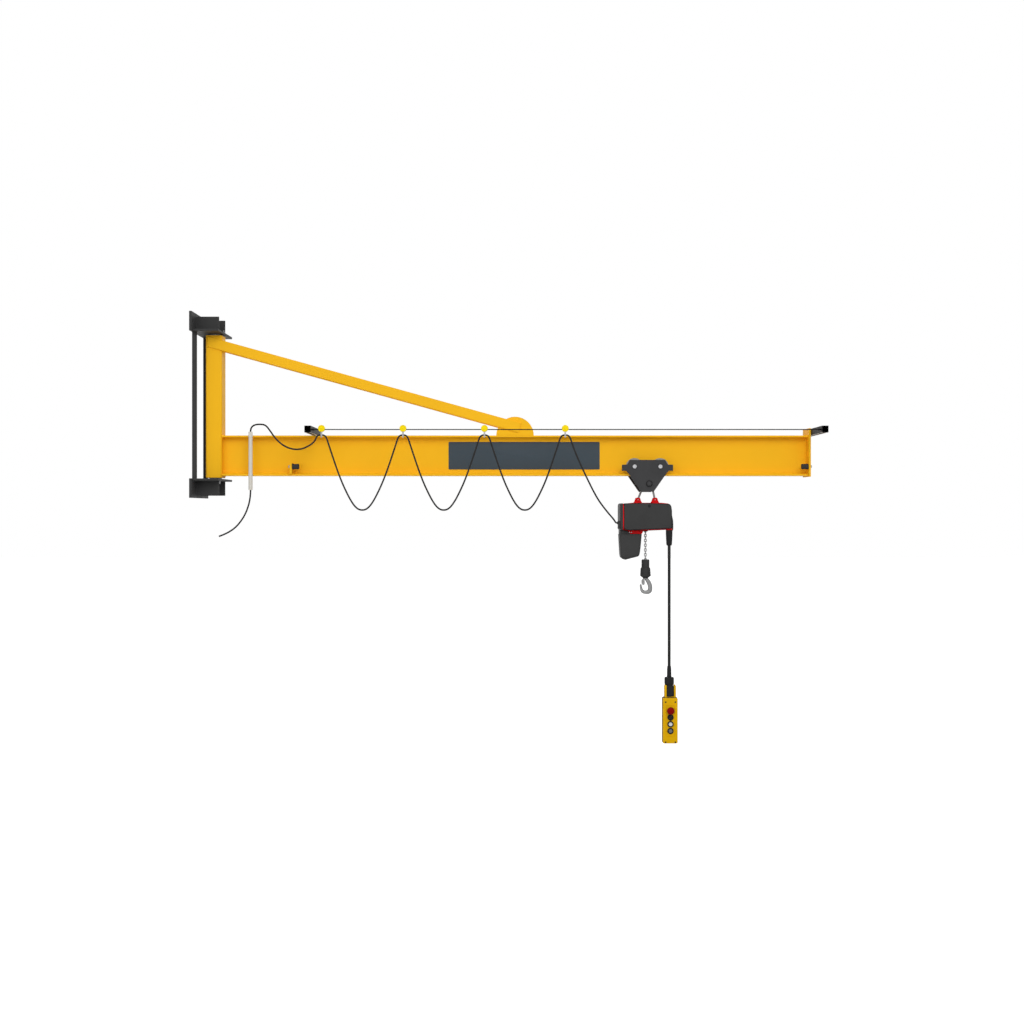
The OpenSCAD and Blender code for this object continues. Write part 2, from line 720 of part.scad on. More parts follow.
// Outline of the chain bag, drawn in from its faces by t
function bag_outline(t, lift) = [[cap_x - 1.5 + t, bag_top + lift],
    [cap_x + 4.5 + t, bag_top - 99], [cap_x + 7.5 + t, bag_top - 115],
    [cap_x + 14 + t / 2, bag_top - bag_h + 8 + t], [cap_x + 27 + t / 2, bag_top - bag_h + t],
    [cap_x + 35, bag_top - bag_h + t], [hoist_x + 72 - t / 2, bag_top - bag_h + 18.5 + t],
    [hoist_x + 78 - t, bag_top - bag_h + 25 + t / 2], [hoist_x + 81 - t, bag_top - 94],
    [hoist_x + 91.5 - t, bag_top + lift]];

module chain_bag() {
    color([0.24, 0.24, 0.24]) difference() {
        along_y(-bag_w / 2, bag_w) polygon(bag_outline(0, 0));
        along_y(-bag_w / 2 + bag_t, bag_w - 2 * bag_t) polygon(bag_outline(bag_t, 1));
    }
}

module cable_inlet() {
    plate = 9.5;
    color([0.2, 0.2, 0.2]) {
        translate([cap_x - plate, -80, -200]) cube([plate, 40, 40]);
        translate([0, -60, -171]) rod_x(gland_x, cap_x - plate - gland_x, 6);
    }
}

// ---- Pendant ----
module pendant_sleeve() {
    color([0.15, 0.15, 0.15]) translate([drop[0], drop[1], sleeve_top - sleeve_h])
        cylinder(h = sleeve_h, r1 = 13.5, r2 = 16.5);
}

module pendant_cable() color([0.15, 0.15, 0.15]) cable(drop_route, drop_cable_d);

module pendant_boot() {
    neck = box_top + hoop_base + 50;
    color([0.13, 0.13, 0.13]) translate([drop[0], drop[1], 0]) {
        rotate_extrude() polygon([[0, boot_top], [8.5, boot_top], [12, boot_top - 44],
            [20, boot_top - 50], [24, boot_top - 54], [24, boot_top - 76], [17, boot_top - 86],
            [17, neck], [0, neck]]);
        translate([-18, -18, box_top + hoop_base]) cube([36, 36, 50]);
    }
}

module pendant_hoop() {
    color([0.95, 0.75, 0.05]) translate([drop[0], drop[1] - 20, box_top]) {
        translate([-hoop_half, 0, 0]) cube([2 * hoop_half, 40, hoop_base]);
        for (s = [0, 1]) mirror([s, 0, 0])
            translate([hoop_half - 10, 0, 0]) cube([10, 40, hoop_rise]);
    }
}

button_z = [for (i = [0:3]) stop_z - i * button_pitch];

module pendant_box() {
    color([0.95, 0.75, 0.05]) difference() {
        translate([box_x, 0, box_top - box_h / 2]) along_y(box_front, box_d)
            rounded(box_w, box_h, 8);
        for (z = button_z) translate([box_x, 0, z]) rod_y(box_front - 1, 11, button_r + run_gap);
    }
}

module button_rings() {
    color([0.15, 0.15, 0.15]) for (z = button_z) translate([box_x, 0, z]) difference() {
        rod_y(box_front - 6, 6, button_r + 5.5);
        rod_y(box_front - 7, 8, button_r + run_gap);
    }
}

module stop_button() {
    color([0.8, 0.05, 0.05]) translate([box_x, 0, button_z[0]]) {
        rod_y(box_front - 12, 16, button_r);
        rod_y(box_front - 22, 11, stop_head_r);
    }
}

module push_button(i, shade)
    color(shade) translate([box_x, 0, button_z[i]]) rod_y(box_front - 10, 15, button_r);

module button_1() push_button(1, [0.1, 0.1, 0.1]);
module button_2() push_button(2, [0.9, 0.9, 0.9]);
module button_3() push_button(3, [0.5, 0.5, 0.5]);

// ---- Chain and hook ----
// One welded link in the XZ plane: two straight sides closed by half rings
module link() {
    bend = (link_w - link_d) / 2;
    straight = link_p + link_gap - 2 * (bend - link_d / 2);
    for (s = [-1, 1]) {
        translate([s * bend, 0, -straight / 2]) cylinder(h = straight, r = link_d / 2);
        translate([0, 0, s * straight / 2]) rotate([90, 0, 0]) rotate([0, 0, s > 0 ? 0 : 180])
            rotate_extrude(angle = 180) translate([bend, 0]) circle(link_d / 2);
    }
}

module chain() {
    color([0.6, 0.6, 0.6]) for (i = [0:link_count - 1])
        translate([chain_x, 0, first_link + i * link_p]) rotate([0, 0, i % 2 * 90]) link();
}

module hook_block() {
    well_r = link_w / 2 + 2;
    well_d = 14;
    color([0.2, 0.2, 0.2]) difference() {
        translate([chain_x, 0, block_top]) rotate_extrude() polygon([[0, 0], [18, 0], [19.5, -2],
            [19.5, -41], [24, -43], [26.5, -84], [24, -87], [16, -94], [0, -94]]);
        translate([chain_x, 0, block_top - well_d]) cylinder(h = well_d + 1, r = well_r);
        translate([chain_x, 0, block_bottom - 1])
            cylinder(h = 21, r = hook_shank_r + bore_gap);
    }
    pin_z = first_link - (link_p + link_gap) / 2 + link_gap + anchor_pin_r;
    color([0.5, 0.5, 0.5]) translate([chain_x, 0, pin_z]) rod_y(-well_r - 1, 2 * well_r + 2, anchor_pin_r);
}

module hook() {
    c = hook_mid;
    bead_r = hook_r + 0.5;
    back = c + bowl_r * [cos(hook_back_a), sin(hook_back_a)];
    tip = c + bowl_r * [cos(hook_tip_a), sin(hook_tip_a)];
    color([0.72, 0.72, 0.73]) {
        translate([c[0], 0, c[1]]) rotate([90, 0, 0]) rotate([0, 0, hook_tip_a])
            rotate_extrude(angle = hook_back_a + 360 - hook_tip_a)
                translate([bowl_r, 0]) circle(hook_r);
        translate([tip[0], 0, tip[1]]) sphere(bead_r);
        translate([back[0], 0, back[1]]) sphere(bead_r);
        bar(back, [chain_x, neck_z], hook_r);
        translate([chain_x, 0, neck_z]) sphere(bead_r + 0.5);
        translate([chain_x, 0, neck_z]) cylinder(h = block_bottom + 19.5 - neck_z, r = hook_shank_r);
        translate([latch_pin[0], 0, latch_pin[1]]) {
            rod_y(-8.7, 17.4, 4.5);
            rod_y(-12, 24, latch_pin_r);
        }
    }
}

module latch() {
    color([0.65, 0.65, 0.66]) translate([latch_pin[0], 0, latch_pin[1]]) {
        for (y = [-11, 9]) difference() {
            along_y(y, 2) polygon([
                [-5, 0], [-3.5, 4], [3.5, 4], [5, 0], [2, -latch_l], [-2, -latch_l]]);
            rod_y(y - 1, 4, latch_pin_r + bore_gap);
        }
        translate([-2, -9, -latch_l]) cube([2, 18, latch_l - 9]);
    }
}

upper_wall_plate();
lower_wall_plate();
bearing_plates();
side_plates();
spacer_bars();
pivot_pins();
column();
bearing_blocks();
beam();
end_plate();
tie_bars();
gusset_plates();
stop_plates();
buffers();
festoon_arms();
guide_wire();
conduit();
name_panel();
end_clamp();
carrier_1();
carrier_2();
carrier_3();
supply_tail();
lead_in();
loop_1();
loop_2();
loop_3();
last_span();
front_side_plate();
back_side_plate();
axles();
cross_pin();
wheel_1();
wheel_2();
wheel_3();
wheel_4();
bail();
hoist_housing();
hoist_band();
hoist_end_cap();
hoist_motor_cover();
hoist_lugs();
chain_chute();
chain_bag();
cable_inlet();
pendant_sleeve();
pendant_cable();
pendant_boot();
pendant_hoop();
pendant_box();
button_rings();
stop_button();
button_1();
button_2();
button_3();
chain();
hook_block();
hook();
latch();
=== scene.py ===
"""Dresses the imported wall-mounted jib crane: finishes, cables, fastenings and moulded covers.

Lengths are millimetres in the crane's own frame, with the origin on the lower wall plate's back,
X along the jib and Z up. MM turns them into metres where a mesh is made.
"""

import json
import math

import bmesh
import bpy
import numpy as np
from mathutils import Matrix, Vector


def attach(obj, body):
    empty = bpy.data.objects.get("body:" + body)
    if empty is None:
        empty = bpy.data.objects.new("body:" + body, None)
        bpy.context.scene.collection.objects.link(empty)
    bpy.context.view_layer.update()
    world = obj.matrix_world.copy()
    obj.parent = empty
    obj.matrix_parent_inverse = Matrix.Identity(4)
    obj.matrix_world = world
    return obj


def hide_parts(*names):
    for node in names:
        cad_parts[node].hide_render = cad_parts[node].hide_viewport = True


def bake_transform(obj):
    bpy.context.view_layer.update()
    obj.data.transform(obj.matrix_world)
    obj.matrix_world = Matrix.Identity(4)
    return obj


MM = 0.001
TURN = 2 * math.pi
OUT, BACK, UP = np.eye(3)
SHARP_DEG = 32
BEVEL_DEG = 40
LENS_MM, SENSOR_MM = 50, 36
CAMERA_PLACE_M = (1.571, -7.11, -0.1165)

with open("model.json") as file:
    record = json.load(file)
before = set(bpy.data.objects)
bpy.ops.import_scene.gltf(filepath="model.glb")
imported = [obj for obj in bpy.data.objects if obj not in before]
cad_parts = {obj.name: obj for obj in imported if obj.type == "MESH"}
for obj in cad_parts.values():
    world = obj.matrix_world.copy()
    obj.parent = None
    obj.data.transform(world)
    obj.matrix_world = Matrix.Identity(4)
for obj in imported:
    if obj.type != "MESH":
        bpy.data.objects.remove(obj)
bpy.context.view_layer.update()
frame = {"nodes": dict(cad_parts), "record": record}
bpy.context.scene.view_settings.view_transform = "Standard"


# ---- Camera ----
def add_camera():
    """Looks level along Y, from in front of the crane."""
    data = bpy.data.cameras.new("view")
    data.lens = LENS_MM
    data.sensor_width = SENSOR_MM
    camera = bpy.data.objects.new("view", data)
    camera.location = CAMERA_PLACE_M
    camera.rotation_euler = (math.pi / 2, 0, 0)
    bpy.context.scene.collection.objects.link(camera)
    bpy.context.scene.camera = camera


add_camera()


# ---- Skins worked out on grids ----
def unit(v):
    """The same direction at length 1."""
    return v / np.maximum(np.linalg.norm(v, axis=-1, keepdims=True), 1e-12)


def across(axis):
    """Two directions square to an axis and to each other, then the axis itself."""
    w = unit(np.array(axis, float))
    side = UP if abs(w[2]) < 0.9 else OUT
    u = unit(np.cross(side, w))
    return u, np.cross(w, u), w


def skin(grid, loop=False):
    """Each point of a grid joins its neighbour round the row and both in the next row. A loop joins
    the last row to the first, and otherwise a flat face closes each end."""
    rows, cols = grid.shape[:2]
    i = np.arange(rows if loop else rows - 1)[:, None] * cols
    above = (i + cols) % (rows * cols)
    j = np.arange(cols)[None, :]
    k = (j + 1) % cols
    faces = np.stack(np.broadcast_arrays(i + j, i + k, above + k, above + j), -1)
    faces = faces.reshape(-1, 4).tolist()
    if not loop:
        faces += [list(range(cols)), list(range((rows - 1) * cols, rows * cols))]
    return grid.reshape(-1, 3), faces


def turned(profile, at, axis=UP, sides=40, loop=False):
    """Ring i is at + h_i along the axis + r_i (cos t, sin t) across it, for profile rows (r, h)."""
    u, v, w = across(axis)
    r, h = np.array(profile, float).T[:, :, None, None]
    t = np.arange(sides)[:, None] * TURN / sides
    return skin(np.array(at, float) + r * (np.cos(t) * u + np.sin(t) * v) + h * w, loop)


def rounded(corners, radius, steps=4, closed=True):
    """Each corner becomes an arc of the radius r that touches both sides: its ends lie
    r / tan(a) from the corner and its centre r / sin(a), a being half the corner's angle."""
    p = np.array(corners, float)
    to_last = np.roll(p, 1, 0) - p
    to_next = np.roll(p, -1, 0) - p
    u, v = unit(to_last), unit(to_next)
    half = np.arccos(np.clip((u * v).sum(1), -1, 1)) / 2
    r = np.broadcast_to(np.array(radius, float), half.shape)
    room = 0.48 * np.minimum(np.linalg.norm(to_last, axis=1), np.linalg.norm(to_next, axis=1))
    r = np.minimum(r, room * np.tan(half))
    cut = r / np.tan(half)
    centre = p + unit(u + v) * (r / np.sin(half))[:, None]
    a = unit(p + u * cut[:, None] - centre)
    b = unit(p + v * cut[:, None] - centre)
    wide = np.maximum(math.pi - 2 * half, 1e-6)[:, None, None]
    s = np.linspace(0, 1, steps + 1)[None, :, None]
    swing = np.sin((1 - s) * wide) * a[:, None] + np.sin(s * wide) * b[:, None]
    arcs = centre[:, None] + r[:, None, None] * swing / np.sin(wide)
    if not closed:
        arcs[0], arcs[-1] = p[0], p[-1]
    return arcs.reshape(-1, p.shape[1])


def drawn_in(outline, by):
    """Each corner moves by (n + m) / (1 + n.m) times the distance, n and m being the inward
    normals of its two sides."""
    side = unit(np.roll(outline, -1, 0) - outline)
    x, y = outline.T
    area = (x * np.roll(y, -1) - y * np.roll(x, -1)).sum()
    m = np.stack([-side[:, 1], side[:, 0]], 1) * np.sign(area)
    n = np.roll(m, 1, 0)
    step = (n + m) / (1 + (n * m).sum(1, keepdims=True))
    return outline + by * step


def placed(flat, station, axis):
    """Puts an outline's two numbers and its station on the three axes."""
    c = np.full(len(flat), float(station))
    order = {"x": (c, flat[:, 0], flat[:, 1]), "y": (flat[:, 0], c, flat[:, 1])}
    return np.stack(order.get(axis, (flat[:, 0], flat[:, 1], c)), 1)


def without_repeats(outline):
    """Leaves out each point that lies on the one before it."""
    far = np.linalg.norm(outline - np.roll(outline, 1, 0), axis=1) > 1e-4
    return outline[far]


def carried(outline, stations, axis="y"):
    """The outline goes from station to station, drawn in at each by its own distance."""
    flat = without_repeats(np.array(outline, float))
    return skin(np.stack([placed(drawn_in(flat, by), at, axis) for at, by in stations]))


def soft_ends(start, depth, edge, steps=3):
    """Stations of a block with rounded rims: the outline is drawn in by edge (1 - sin a) where it
    has moved edge (1 - cos a), for a from 0 to a quarter turn."""
    a = np.linspace(0, math.pi / 2, steps + 1)
    lift, inset = edge * (1 - np.cos(a)), edge * (1 - np.sin(a))
    return list(zip(start + lift, inset)) + list(
        zip((start + depth - lift)[::-1], inset[::-1]))


def block(outline, start, depth, axis="y", edge=1.0, steps=3):
    """An outline carried straight from start through depth, with rounded rims."""
    return carried(outline, soft_ends(start, depth, edge, steps), axis)


def box_outline(low, high, radius, steps=4):
    """A rectangle from its low to its high corner, with round corners."""
    (a, b), (c, d) = low, high
    return rounded([(a, b), (c, b), (c, d), (a, d)], radius, steps)


def tube(path, radius, sides=16, up=BACK):
    """Ring i is path_i + r_i (cos t a_i + sin t b_i), where a is square to the heading and the up
    direction, and b square to both a and the heading."""
    path = np.array(path, float)
    heading = unit(np.gradient(path, axis=0))
    a = unit(np.cross(np.array(up, float), heading))[:, None]
    b = np.cross(heading[:, None], a)
    t = np.arange(sides)[:, None] * TURN / sides
    r = np.broadcast_to(np.array(radius, float), len(path))[:, None, None]
    return skin(path[:, None] + r * (np.cos(t) * a + np.sin(t) * b))


def eased(route, rounds=3):
    """Corner cutting: every side keeps its points at a quarter and three quarters, and the ends
    stay, which bends the route into one smooth curve."""
    p = np.array(route, float)
    for _ in range(rounds):
        a, b = p[:-1], p[1:]
        inner = np.stack([0.75 * a + 0.25 * b, 0.25 * a + 0.75 * b], 1).reshape(-1, 3)
        p = np.concatenate([p[:1], inner, p[-1:]])
    return p


def evenly(path, step):
    """The same line with points a step apart, by its length so far."""
    path = np.array(path, float)
    far = np.concatenate([[0], np.cumsum(np.linalg.norm(np.diff(path, axis=0), axis=1))])
    s = np.linspace(0, far[-1], max(3, int(far[-1] / step) + 1))
    return np.stack([np.interp(s, far, c) for c in path.T], 1)


def bead(path, size=3.0):
    """A weld bead of radius size (0.9 + 0.12 |sin|), one ripple each 3.4 mm, with thinner ends."""
    step, ripple_length = 1.1, 3.4
    line = evenly(path, step)
    way = line[-1] - line[0]
    up = BACK if abs(unit(way)[1]) < 0.7 else UP
    ripple = np.abs(np.sin(np.arange(len(line)) * step * math.pi / ripple_length))
    ends = np.minimum(1, np.minimum(np.arange(len(line)), np.arange(len(line))[::-1]) / 2 + 0.35)
    return tube(line, size * (0.9 + 0.12 * ripple) * ends, 8, up)


def hex_head(at, out, flats=13.0, height=5.5, washer=True):
    """Six-sided rings on a round washer; the last ring is drawn in for the chamfer."""
    at, out = np.array(at, float), unit(np.array(out, float))
    skins, stand = [], 0.0
    if washer:
        stand = 0.14 * flats
        r = 0.92 * flats
        rim = [(0.2 * r, 0), (r - 0.3, 0), (r, 0.3), (r, stand - 0.3), (r - 0.3, stand)]
        skins.append(turned(rim + [(0.2 * r, stand)], at, out, 24))
    r = flats / math.sqrt(3)
    head = [(r, 0), (r, 0.8 * height), (0.87 * r, height)]
    skins.append(turned(head, at + stand * out + 0.01 * out, out, 6))
    return skins


def socket_head(at, out, r=4.0, height=3.0):
    """A cap screw: its profile runs up the rim, over the edge and down into the socket."""
    rim = [(0.3 * r, 0), (r, 0), (r, height - 0.4), (r - 0.4, height), (0.55 * r, height),
           (0.5 * r, height - 0.3), (0.5 * r, 0.35 * height), (0.01, 0.35 * height)]
    return turned(rim, at, out, 18)


# ---- Finishes ----
def linear(red, green, blue):
    """Screen colour from 0 to 255 into the light's own scale."""
    c = np.array([red, green, blue]) / 255
    return [*np.where(c <= 0.04045, c / 12.92, ((c + 0.055) / 1.055) ** 2.4), 1.0]


def noise(tree, where, scale, detail=4.0, roughness=0.55):
    """A noise field over the coordinates."""
    n = tree.nodes.new("ShaderNodeTexNoise")
    n.inputs["Scale"].default_value = scale
    n.inputs["Detail"].default_value = detail
    n.inputs["Roughness"].default_value = roughness
    tree.links.new(where, n.inputs["Vector"])
    return n.outputs["Fac"]


def mapped(tree, value, low, high, start=0.3, end=0.7):
    """A value between start and end becomes one between low and high."""
    m = tree.nodes.new("ShaderNodeMapRange")
    for socket, number in zip(("From Min", "From Max", "To Min", "To Max"),
                              (start, end, low, high)):
        m.inputs[socket].default_value = number
    tree.links.new(value, m.inputs["Value"])
    return m.outputs["Result"]


def finish(slot, colour, rough, metallic=0.0, mottle=(7.0, 0.05), grain=((420.0, 0.02),),
           spread=0.05, stretch=(1, 1, 1), specular=0.05, coat=0.0, flecks=None):
    """A surface whose colour, gloss and relief each follow their own noise in the crane's frame."""
    material = bpy.data.materials.new(slot)
    material.use_nodes = True
    tree = material.node_tree
    shader = tree.nodes["Principled BSDF"]
    shader.inputs["Metallic"].default_value = metallic
    shader.inputs["Specular IOR Level"].default_value = specular
    shader.inputs["Coat Weight"].default_value = coat
    shader.inputs["Coat Roughness"].default_value = 0.15
    coordinates = tree.nodes.new("ShaderNodeTexCoord")
    mapping = tree.nodes.new("ShaderNodeMapping")
    mapping.inputs["Scale"].default_value = stretch
    tree.links.new(coordinates.outputs["Object"], mapping.inputs["Vector"])
    where = mapping.outputs["Vector"]
    base = np.array(linear(*colour))
    blend = tree.nodes.new("ShaderNodeMix")
    blend.data_type = "RGBA"
    shade = np.array([1 - mottle[1]] * 3 + [1])
    blend.inputs["A"].default_value = base * shade
    blend.inputs["B"].default_value = np.minimum(base * (2 - shade), 1)
    tree.links.new(mapped(tree, noise(tree, where, mottle[0]), 0, 1), blend.inputs["Factor"])
    out = blend.outputs["Result"]
    if flecks:
        cells = tree.nodes.new("ShaderNodeTexVoronoi")
        cells.inputs["Scale"].default_value = flecks[0]
        tree.links.new(where, cells.inputs["Vector"])
        grey = tree.nodes.new("ShaderNodeSeparateColor")
        tree.links.new(cells.outputs["Color"], grey.inputs["Color"])
        second = tree.nodes.new("ShaderNodeMix")
        second.data_type = "RGBA"
        tree.links.new(out, second.inputs["A"])
        second.inputs["B"].default_value = linear(*flecks[1])
        tree.links.new(mapped(tree, grey.outputs["Red"], 0, flecks[2], 0, 1),
                       second.inputs["Factor"])
        out = second.outputs["Result"]
    tree.links.new(out, shader.inputs["Base Color"])
    gloss = mapped(tree, noise(tree, where, 3.1 * mottle[0]), rough - spread, rough + spread)
    tree.links.new(gloss, shader.inputs["Roughness"])
    normal = None
    for scale, depth in grain:
        bump = tree.nodes.new("ShaderNodeBump")
        bump.inputs["Distance"].default_value = depth * MM
        tree.links.new(noise(tree, where, scale, 3.0), bump.inputs["Height"])
        if normal:
            tree.links.new(normal, bump.inputs["Normal"])
        normal = bump.outputs["Normal"]
    if normal:
        tree.links.new(normal, shader.inputs["Normal"])
    return material


PEEL = ((330.0, 0.05), (90.0, 0.06))
SAND = ((1500.0, 0.10), (500.0, 0.05))
FINISHES = {
    "crane_yellow": dict(colour=(245, 185, 30), rough=0.42, mottle=(2.2, 0.03), grain=PEEL),
    "bracket_paint": dict(colour=(60, 60, 60), rough=0.5, mottle=(5, 0.09), grain=PEEL),
    "bright_steel": dict(colour=(165, 165, 167), rough=0.42, metallic=0.35, mottle=(60, 0.07),
                         grain=((900.0, 0.02),), specular=0.3),
    "wheel_steel": dict(colour=(128, 126, 118), rough=0.45, metallic=0.35, mottle=(40, 0.1),
                        specular=0.2),
    "trolley_paint": dict(colour=(63, 63, 64), rough=0.45, mottle=(9, 0.08), grain=SAND),
    "rail_steel": dict(colour=(30, 30, 31), rough=0.45, mottle=(9, 0.1), grain=PEEL),
    "wire_steel": dict(colour=(26, 26, 27), rough=0.5, metallic=0.2, mottle=(200, 0.15)),
    "conduit_plastic": dict(colour=(214, 210, 201), rough=0.4, mottle=(12, 0.03)),
    "panel_grey": dict(colour=(68, 78, 86), rough=0.36, mottle=(4, 0.04), grain=PEEL),
    "carrier_plastic": dict(colour=(244, 218, 14), rough=0.35, mottle=(40, 0.03)),
    "cable_sheath": dict(colour=(46, 46, 46), rough=0.5, mottle=(30, 0.1),
                         grain=((1100.0, 0.04),)),
    "buffer_rubber": dict(colour=(60, 58, 57), rough=0.7, mottle=(60, 0.12), grain=SAND),
    "hoist_paint": dict(colour=(60, 60, 60), rough=0.48, mottle=(12, 0.06), grain=SAND),
    "hoist_red": dict(colour=(208, 20, 24), rough=0.38, mottle=(20, 0.05), grain=PEEL),
    "bag_plastic": dict(colour=(62, 62, 62), rough=0.5, mottle=(14, 0.06), grain=SAND),
    "moulded_black": dict(colour=(40, 40, 41), rough=0.6, mottle=(40, 0.1), grain=SAND),
    "pendant_yellow": dict(colour=(224, 173, 10), rough=0.4, mottle=(30, 0.04),
                           grain=((1300.0, 0.05),)),
    "button_red": dict(colour=(132, 4, 4), rough=0.3, mottle=(60, 0.04)),
    "button_black": dict(colour=(38, 38, 38), rough=0.38, mottle=(60, 0.06)),
    "button_white": dict(colour=(212, 212, 210), rough=0.35, mottle=(60, 0.03)),
    "button_grey": dict(colour=(112, 112, 114), rough=0.35, mottle=(60, 0.04)),
    "chain_steel": dict(colour=(160, 160, 160), rough=0.42, metallic=0.35, mottle=(150, 0.1),
                        specular=0.2),
    "hook_steel": dict(colour=(138, 138, 138), rough=0.46, metallic=0.3, mottle=(60, 0.08),
                       specular=0.2),
    "block_paint": dict(colour=(57, 57, 57), rough=0.5, mottle=(25, 0.08), grain=SAND),
}
MATERIALS = {slot: finish(slot, **look) for slot, look in FINISHES.items()}


def dress_nodes():
    """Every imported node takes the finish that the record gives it."""
    for part in frame["record"]["subparts"]:
        node = frame["nodes"][part["node"]]
        node.data.materials.clear()
        node.data.materials.append(MATERIALS[part["material_slot"]])


def ease_edges(width, *names):
    """Rolled and ground edges: the node's loose triangles are welded, flat faces joined, and each
    sharp edge rounded, all as modifiers over the untouched mesh."""
    for name in names:
        node = frame["nodes"][name]
        weld = node.modifiers.new("weld", "WELD")
        weld.merge_threshold = 2e-6
        flat = node.modifiers.new("flat", "DECIMATE")
        flat.decimate_type = "DISSOLVE"
        flat.angle_limit = math.radians(0.5)
        edge = node.modifiers.new("edge", "BEVEL")
        edge.width = width * MM
        edge.segments = 2
        edge.limit_method = "ANGLE"
        edge.angle_limit = math.radians(BEVEL_DEG)
        edge.harden_normals = False


def piece(name, body, slot, *skins, replaces=()):
    """One object from its skins: points merged where they meet, faces outward, edges past the
    sharp angle kept crisp. It rides on its body in its slot's finish."""
    points, faces, start = [], [], 0
    for place, polygons in skins:
        points.append(place)
        faces += [[start + k for k in polygon] for polygon in polygons]
        start += len(place)
    mesh = bpy.data.meshes.new(name)
    mesh.from_pydata((np.concatenate(points) * MM).tolist(), [], faces)
    work = bmesh.new()
    work.from_mesh(mesh)
    bmesh.ops.remove_doubles(work, verts=work.verts, dist=1e-7)
    bmesh.ops.dissolve_degenerate(work, edges=work.edges, dist=1e-7)
    bmesh.ops.recalc_face_normals(work, faces=work.faces)
    work.to_mesh(mesh)
    work.free()
    mesh.shade_smooth()
    mesh.set_sharp_from_angle(angle=math.radians(SHARP_DEG))
    mesh.materials.append(MATERIALS[slot])
    made = bpy.data.objects.new(name, mesh)
    bpy.context.scene.collection.objects.link(made)
    if body:
        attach(made, body)
    if replaces:
        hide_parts(*replaces)
    return made


# ---- Cables ----
CABLE_R, DROP_R = 4.0, 7.5
WIRE_Y, WIRE_Z, CABLE_Z = -300, 278.5, 252
DROP_X, DROP_Y = 2350, -60
DROP_TOP, DROP_LOW = -270, -890
CLAMP_X = (659, 1049, 1439, 1826)

TAIL = [(275, -60.3, 4), (275, -60.3, -18), (274, -60, -30), (273, -60, -45), (270, -60, -62),
        (266, -60, -80), (260, -60, -98), (253, -60, -117), (244, -60, -135), (234, -60, -152),
        (222, -60, -168), (209, -60, -184), (194, -60, -198), (177, -60, -210), (158, -60, -221),
        (138, -60, -230), (119, -60, -237)]
LEAD = [(275, -60.3, 270), (275, -60.3, 289), (280, -62, 304), (292, -65, 313), (308, -71, 317),
        (328, -78, 317), (346, -85, 315), (361, -92, 306), (378, -102, 285), (401, -116, 254),
        (424, -130, 230), (452, -146, 209), (487, -168, 193), (524, -192, 187), (560, -219, 191),
        (590, -244, 203), (609, -262, 213), (621, -275, 223), (629, -285, 233),
        (633.5, -292, 242), (640, -298, 249.5), (649, -300, 252), (659, -300, 252)]
HALF_LOOP = [(-195, 252), (-190.5, 252), (-182, 250), (-174.5, 244), (-170, 235.5), (-160, 204),
             (-146, 162), (-130, 114), (-113, 66), (-95, 20), (-76, -21), (-57, -58), (-38, -87),
             (-19, -104)]
HALF_PITCH, LOOP_LOW = 195, -108
LAST = [(1826, -300, 252), (1830.5, -300, 252), (1839, -300, 250), (1846.5, -300, 244),
        (1851, -300, 235.5), (1861, -300, 205), (1875, -299, 168), (1893, -297, 125),
        (1913, -292, 82), (1936, -280, 36), (1961, -259, -12), (1986, -230, -54),
        (2010, -193, -84.5), (2034, -153, -112), (2054, -118, -133), (2069, -88, -147.5),
        (2079, -70, -160), (2085.5, -60.5, -170), (2098, -60, -171)]


def loop_path(i):
    """Half a loop and its mirror image about the middle between two clamps."""
    left = np.array(HALF_LOOP, float)
    flat = np.concatenate([left, [(0, LOOP_LOW)], (left * (-1, 1))[::-1]])
    middle, half = (CLAMP_X[i] + CLAMP_X[i + 1]) / 2, (CLAMP_X[i + 1] - CLAMP_X[i]) / 2
    x = middle + flat[:, 0] * half / HALF_PITCH
    return np.stack([x, np.full(len(x), float(WIRE_Y)), flat[:, 1]], 1)


def cable(name, body, route, radius, replaces, sides=16):
    """A round sheath along the eased route."""
    path = eased(route)
    made = piece(name, body, "cable_sheath", tube(path, radius, sides), replaces=replaces)
    return made, path


def hang_between(made):
    """Bakes the cable's placement into its mesh."""
    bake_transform(made)


def add_cables():
    """The jib's two cables, the festoon and the pendant's line."""
    cable("supply_cable", "jib", TAIL, CABLE_R, ["supply_tail"])
    cable("lead_cable", "jib", LEAD, CABLE_R, ["lead_in"])
    for i in range(3):
        made, path = cable(f"festoon_loop_{i + 1}", None, loop_path(i), CABLE_R,
                           [f"loop_{i + 1}"])
        hang_between(made)
    made, path = cable("festoon_last_span", None, LAST, CABLE_R,
                       ["last_span"])
    hang_between(made)
    drop = [(DROP_X, DROP_Y, z) for z in np.linspace(DROP_TOP, DROP_LOW, 17)]
    cable("pendant_line", "trolley", drop, DROP_R,
          ["pendant_cable"], 24)


def add_cable_end():
    """The bare end: the sheath's cut face shows four cores in their fillers."""
    tip, before = np.array(TAIL[-1], float), np.array(TAIL[-2], float)
    way = unit(tip - before)
    u, v, _ = across(way)
    count, ring_r, sunk = 4, 1.75, 0.5
    cores = []
    for k in range(count):
        angle = TURN * (k + 0.5) / count
        at = tip + ring_r * (math.cos(angle) * u + math.sin(angle) * v) - sunk * way
        cores.append(turned([(1.25, 0), (1.25, 1.4), (1.0, 1.6)], at, way, 12))
    piece("supply_cores", "jib", "button_grey", *cores)


# ---- Wall brackets and column ----
def nipple(at, out):
    """A grease nipple: six-sided foot, thin neck and ball."""
    at, out = np.array(at, float), np.array(out, float)
    foot = turned([(5.2, 0), (5.2, 4.2), (4.4, 5)], at, out, 6)
    ball = [(3.4, 4.9), (3.4, 6), (2.3, 7), (2.3, 8.6), (3.3, 10), (3.4, 11), (2.6, 12.4),
            (1.2, 13)]
    return foot, turned(ball, at + 0.02 * out, out, 16)


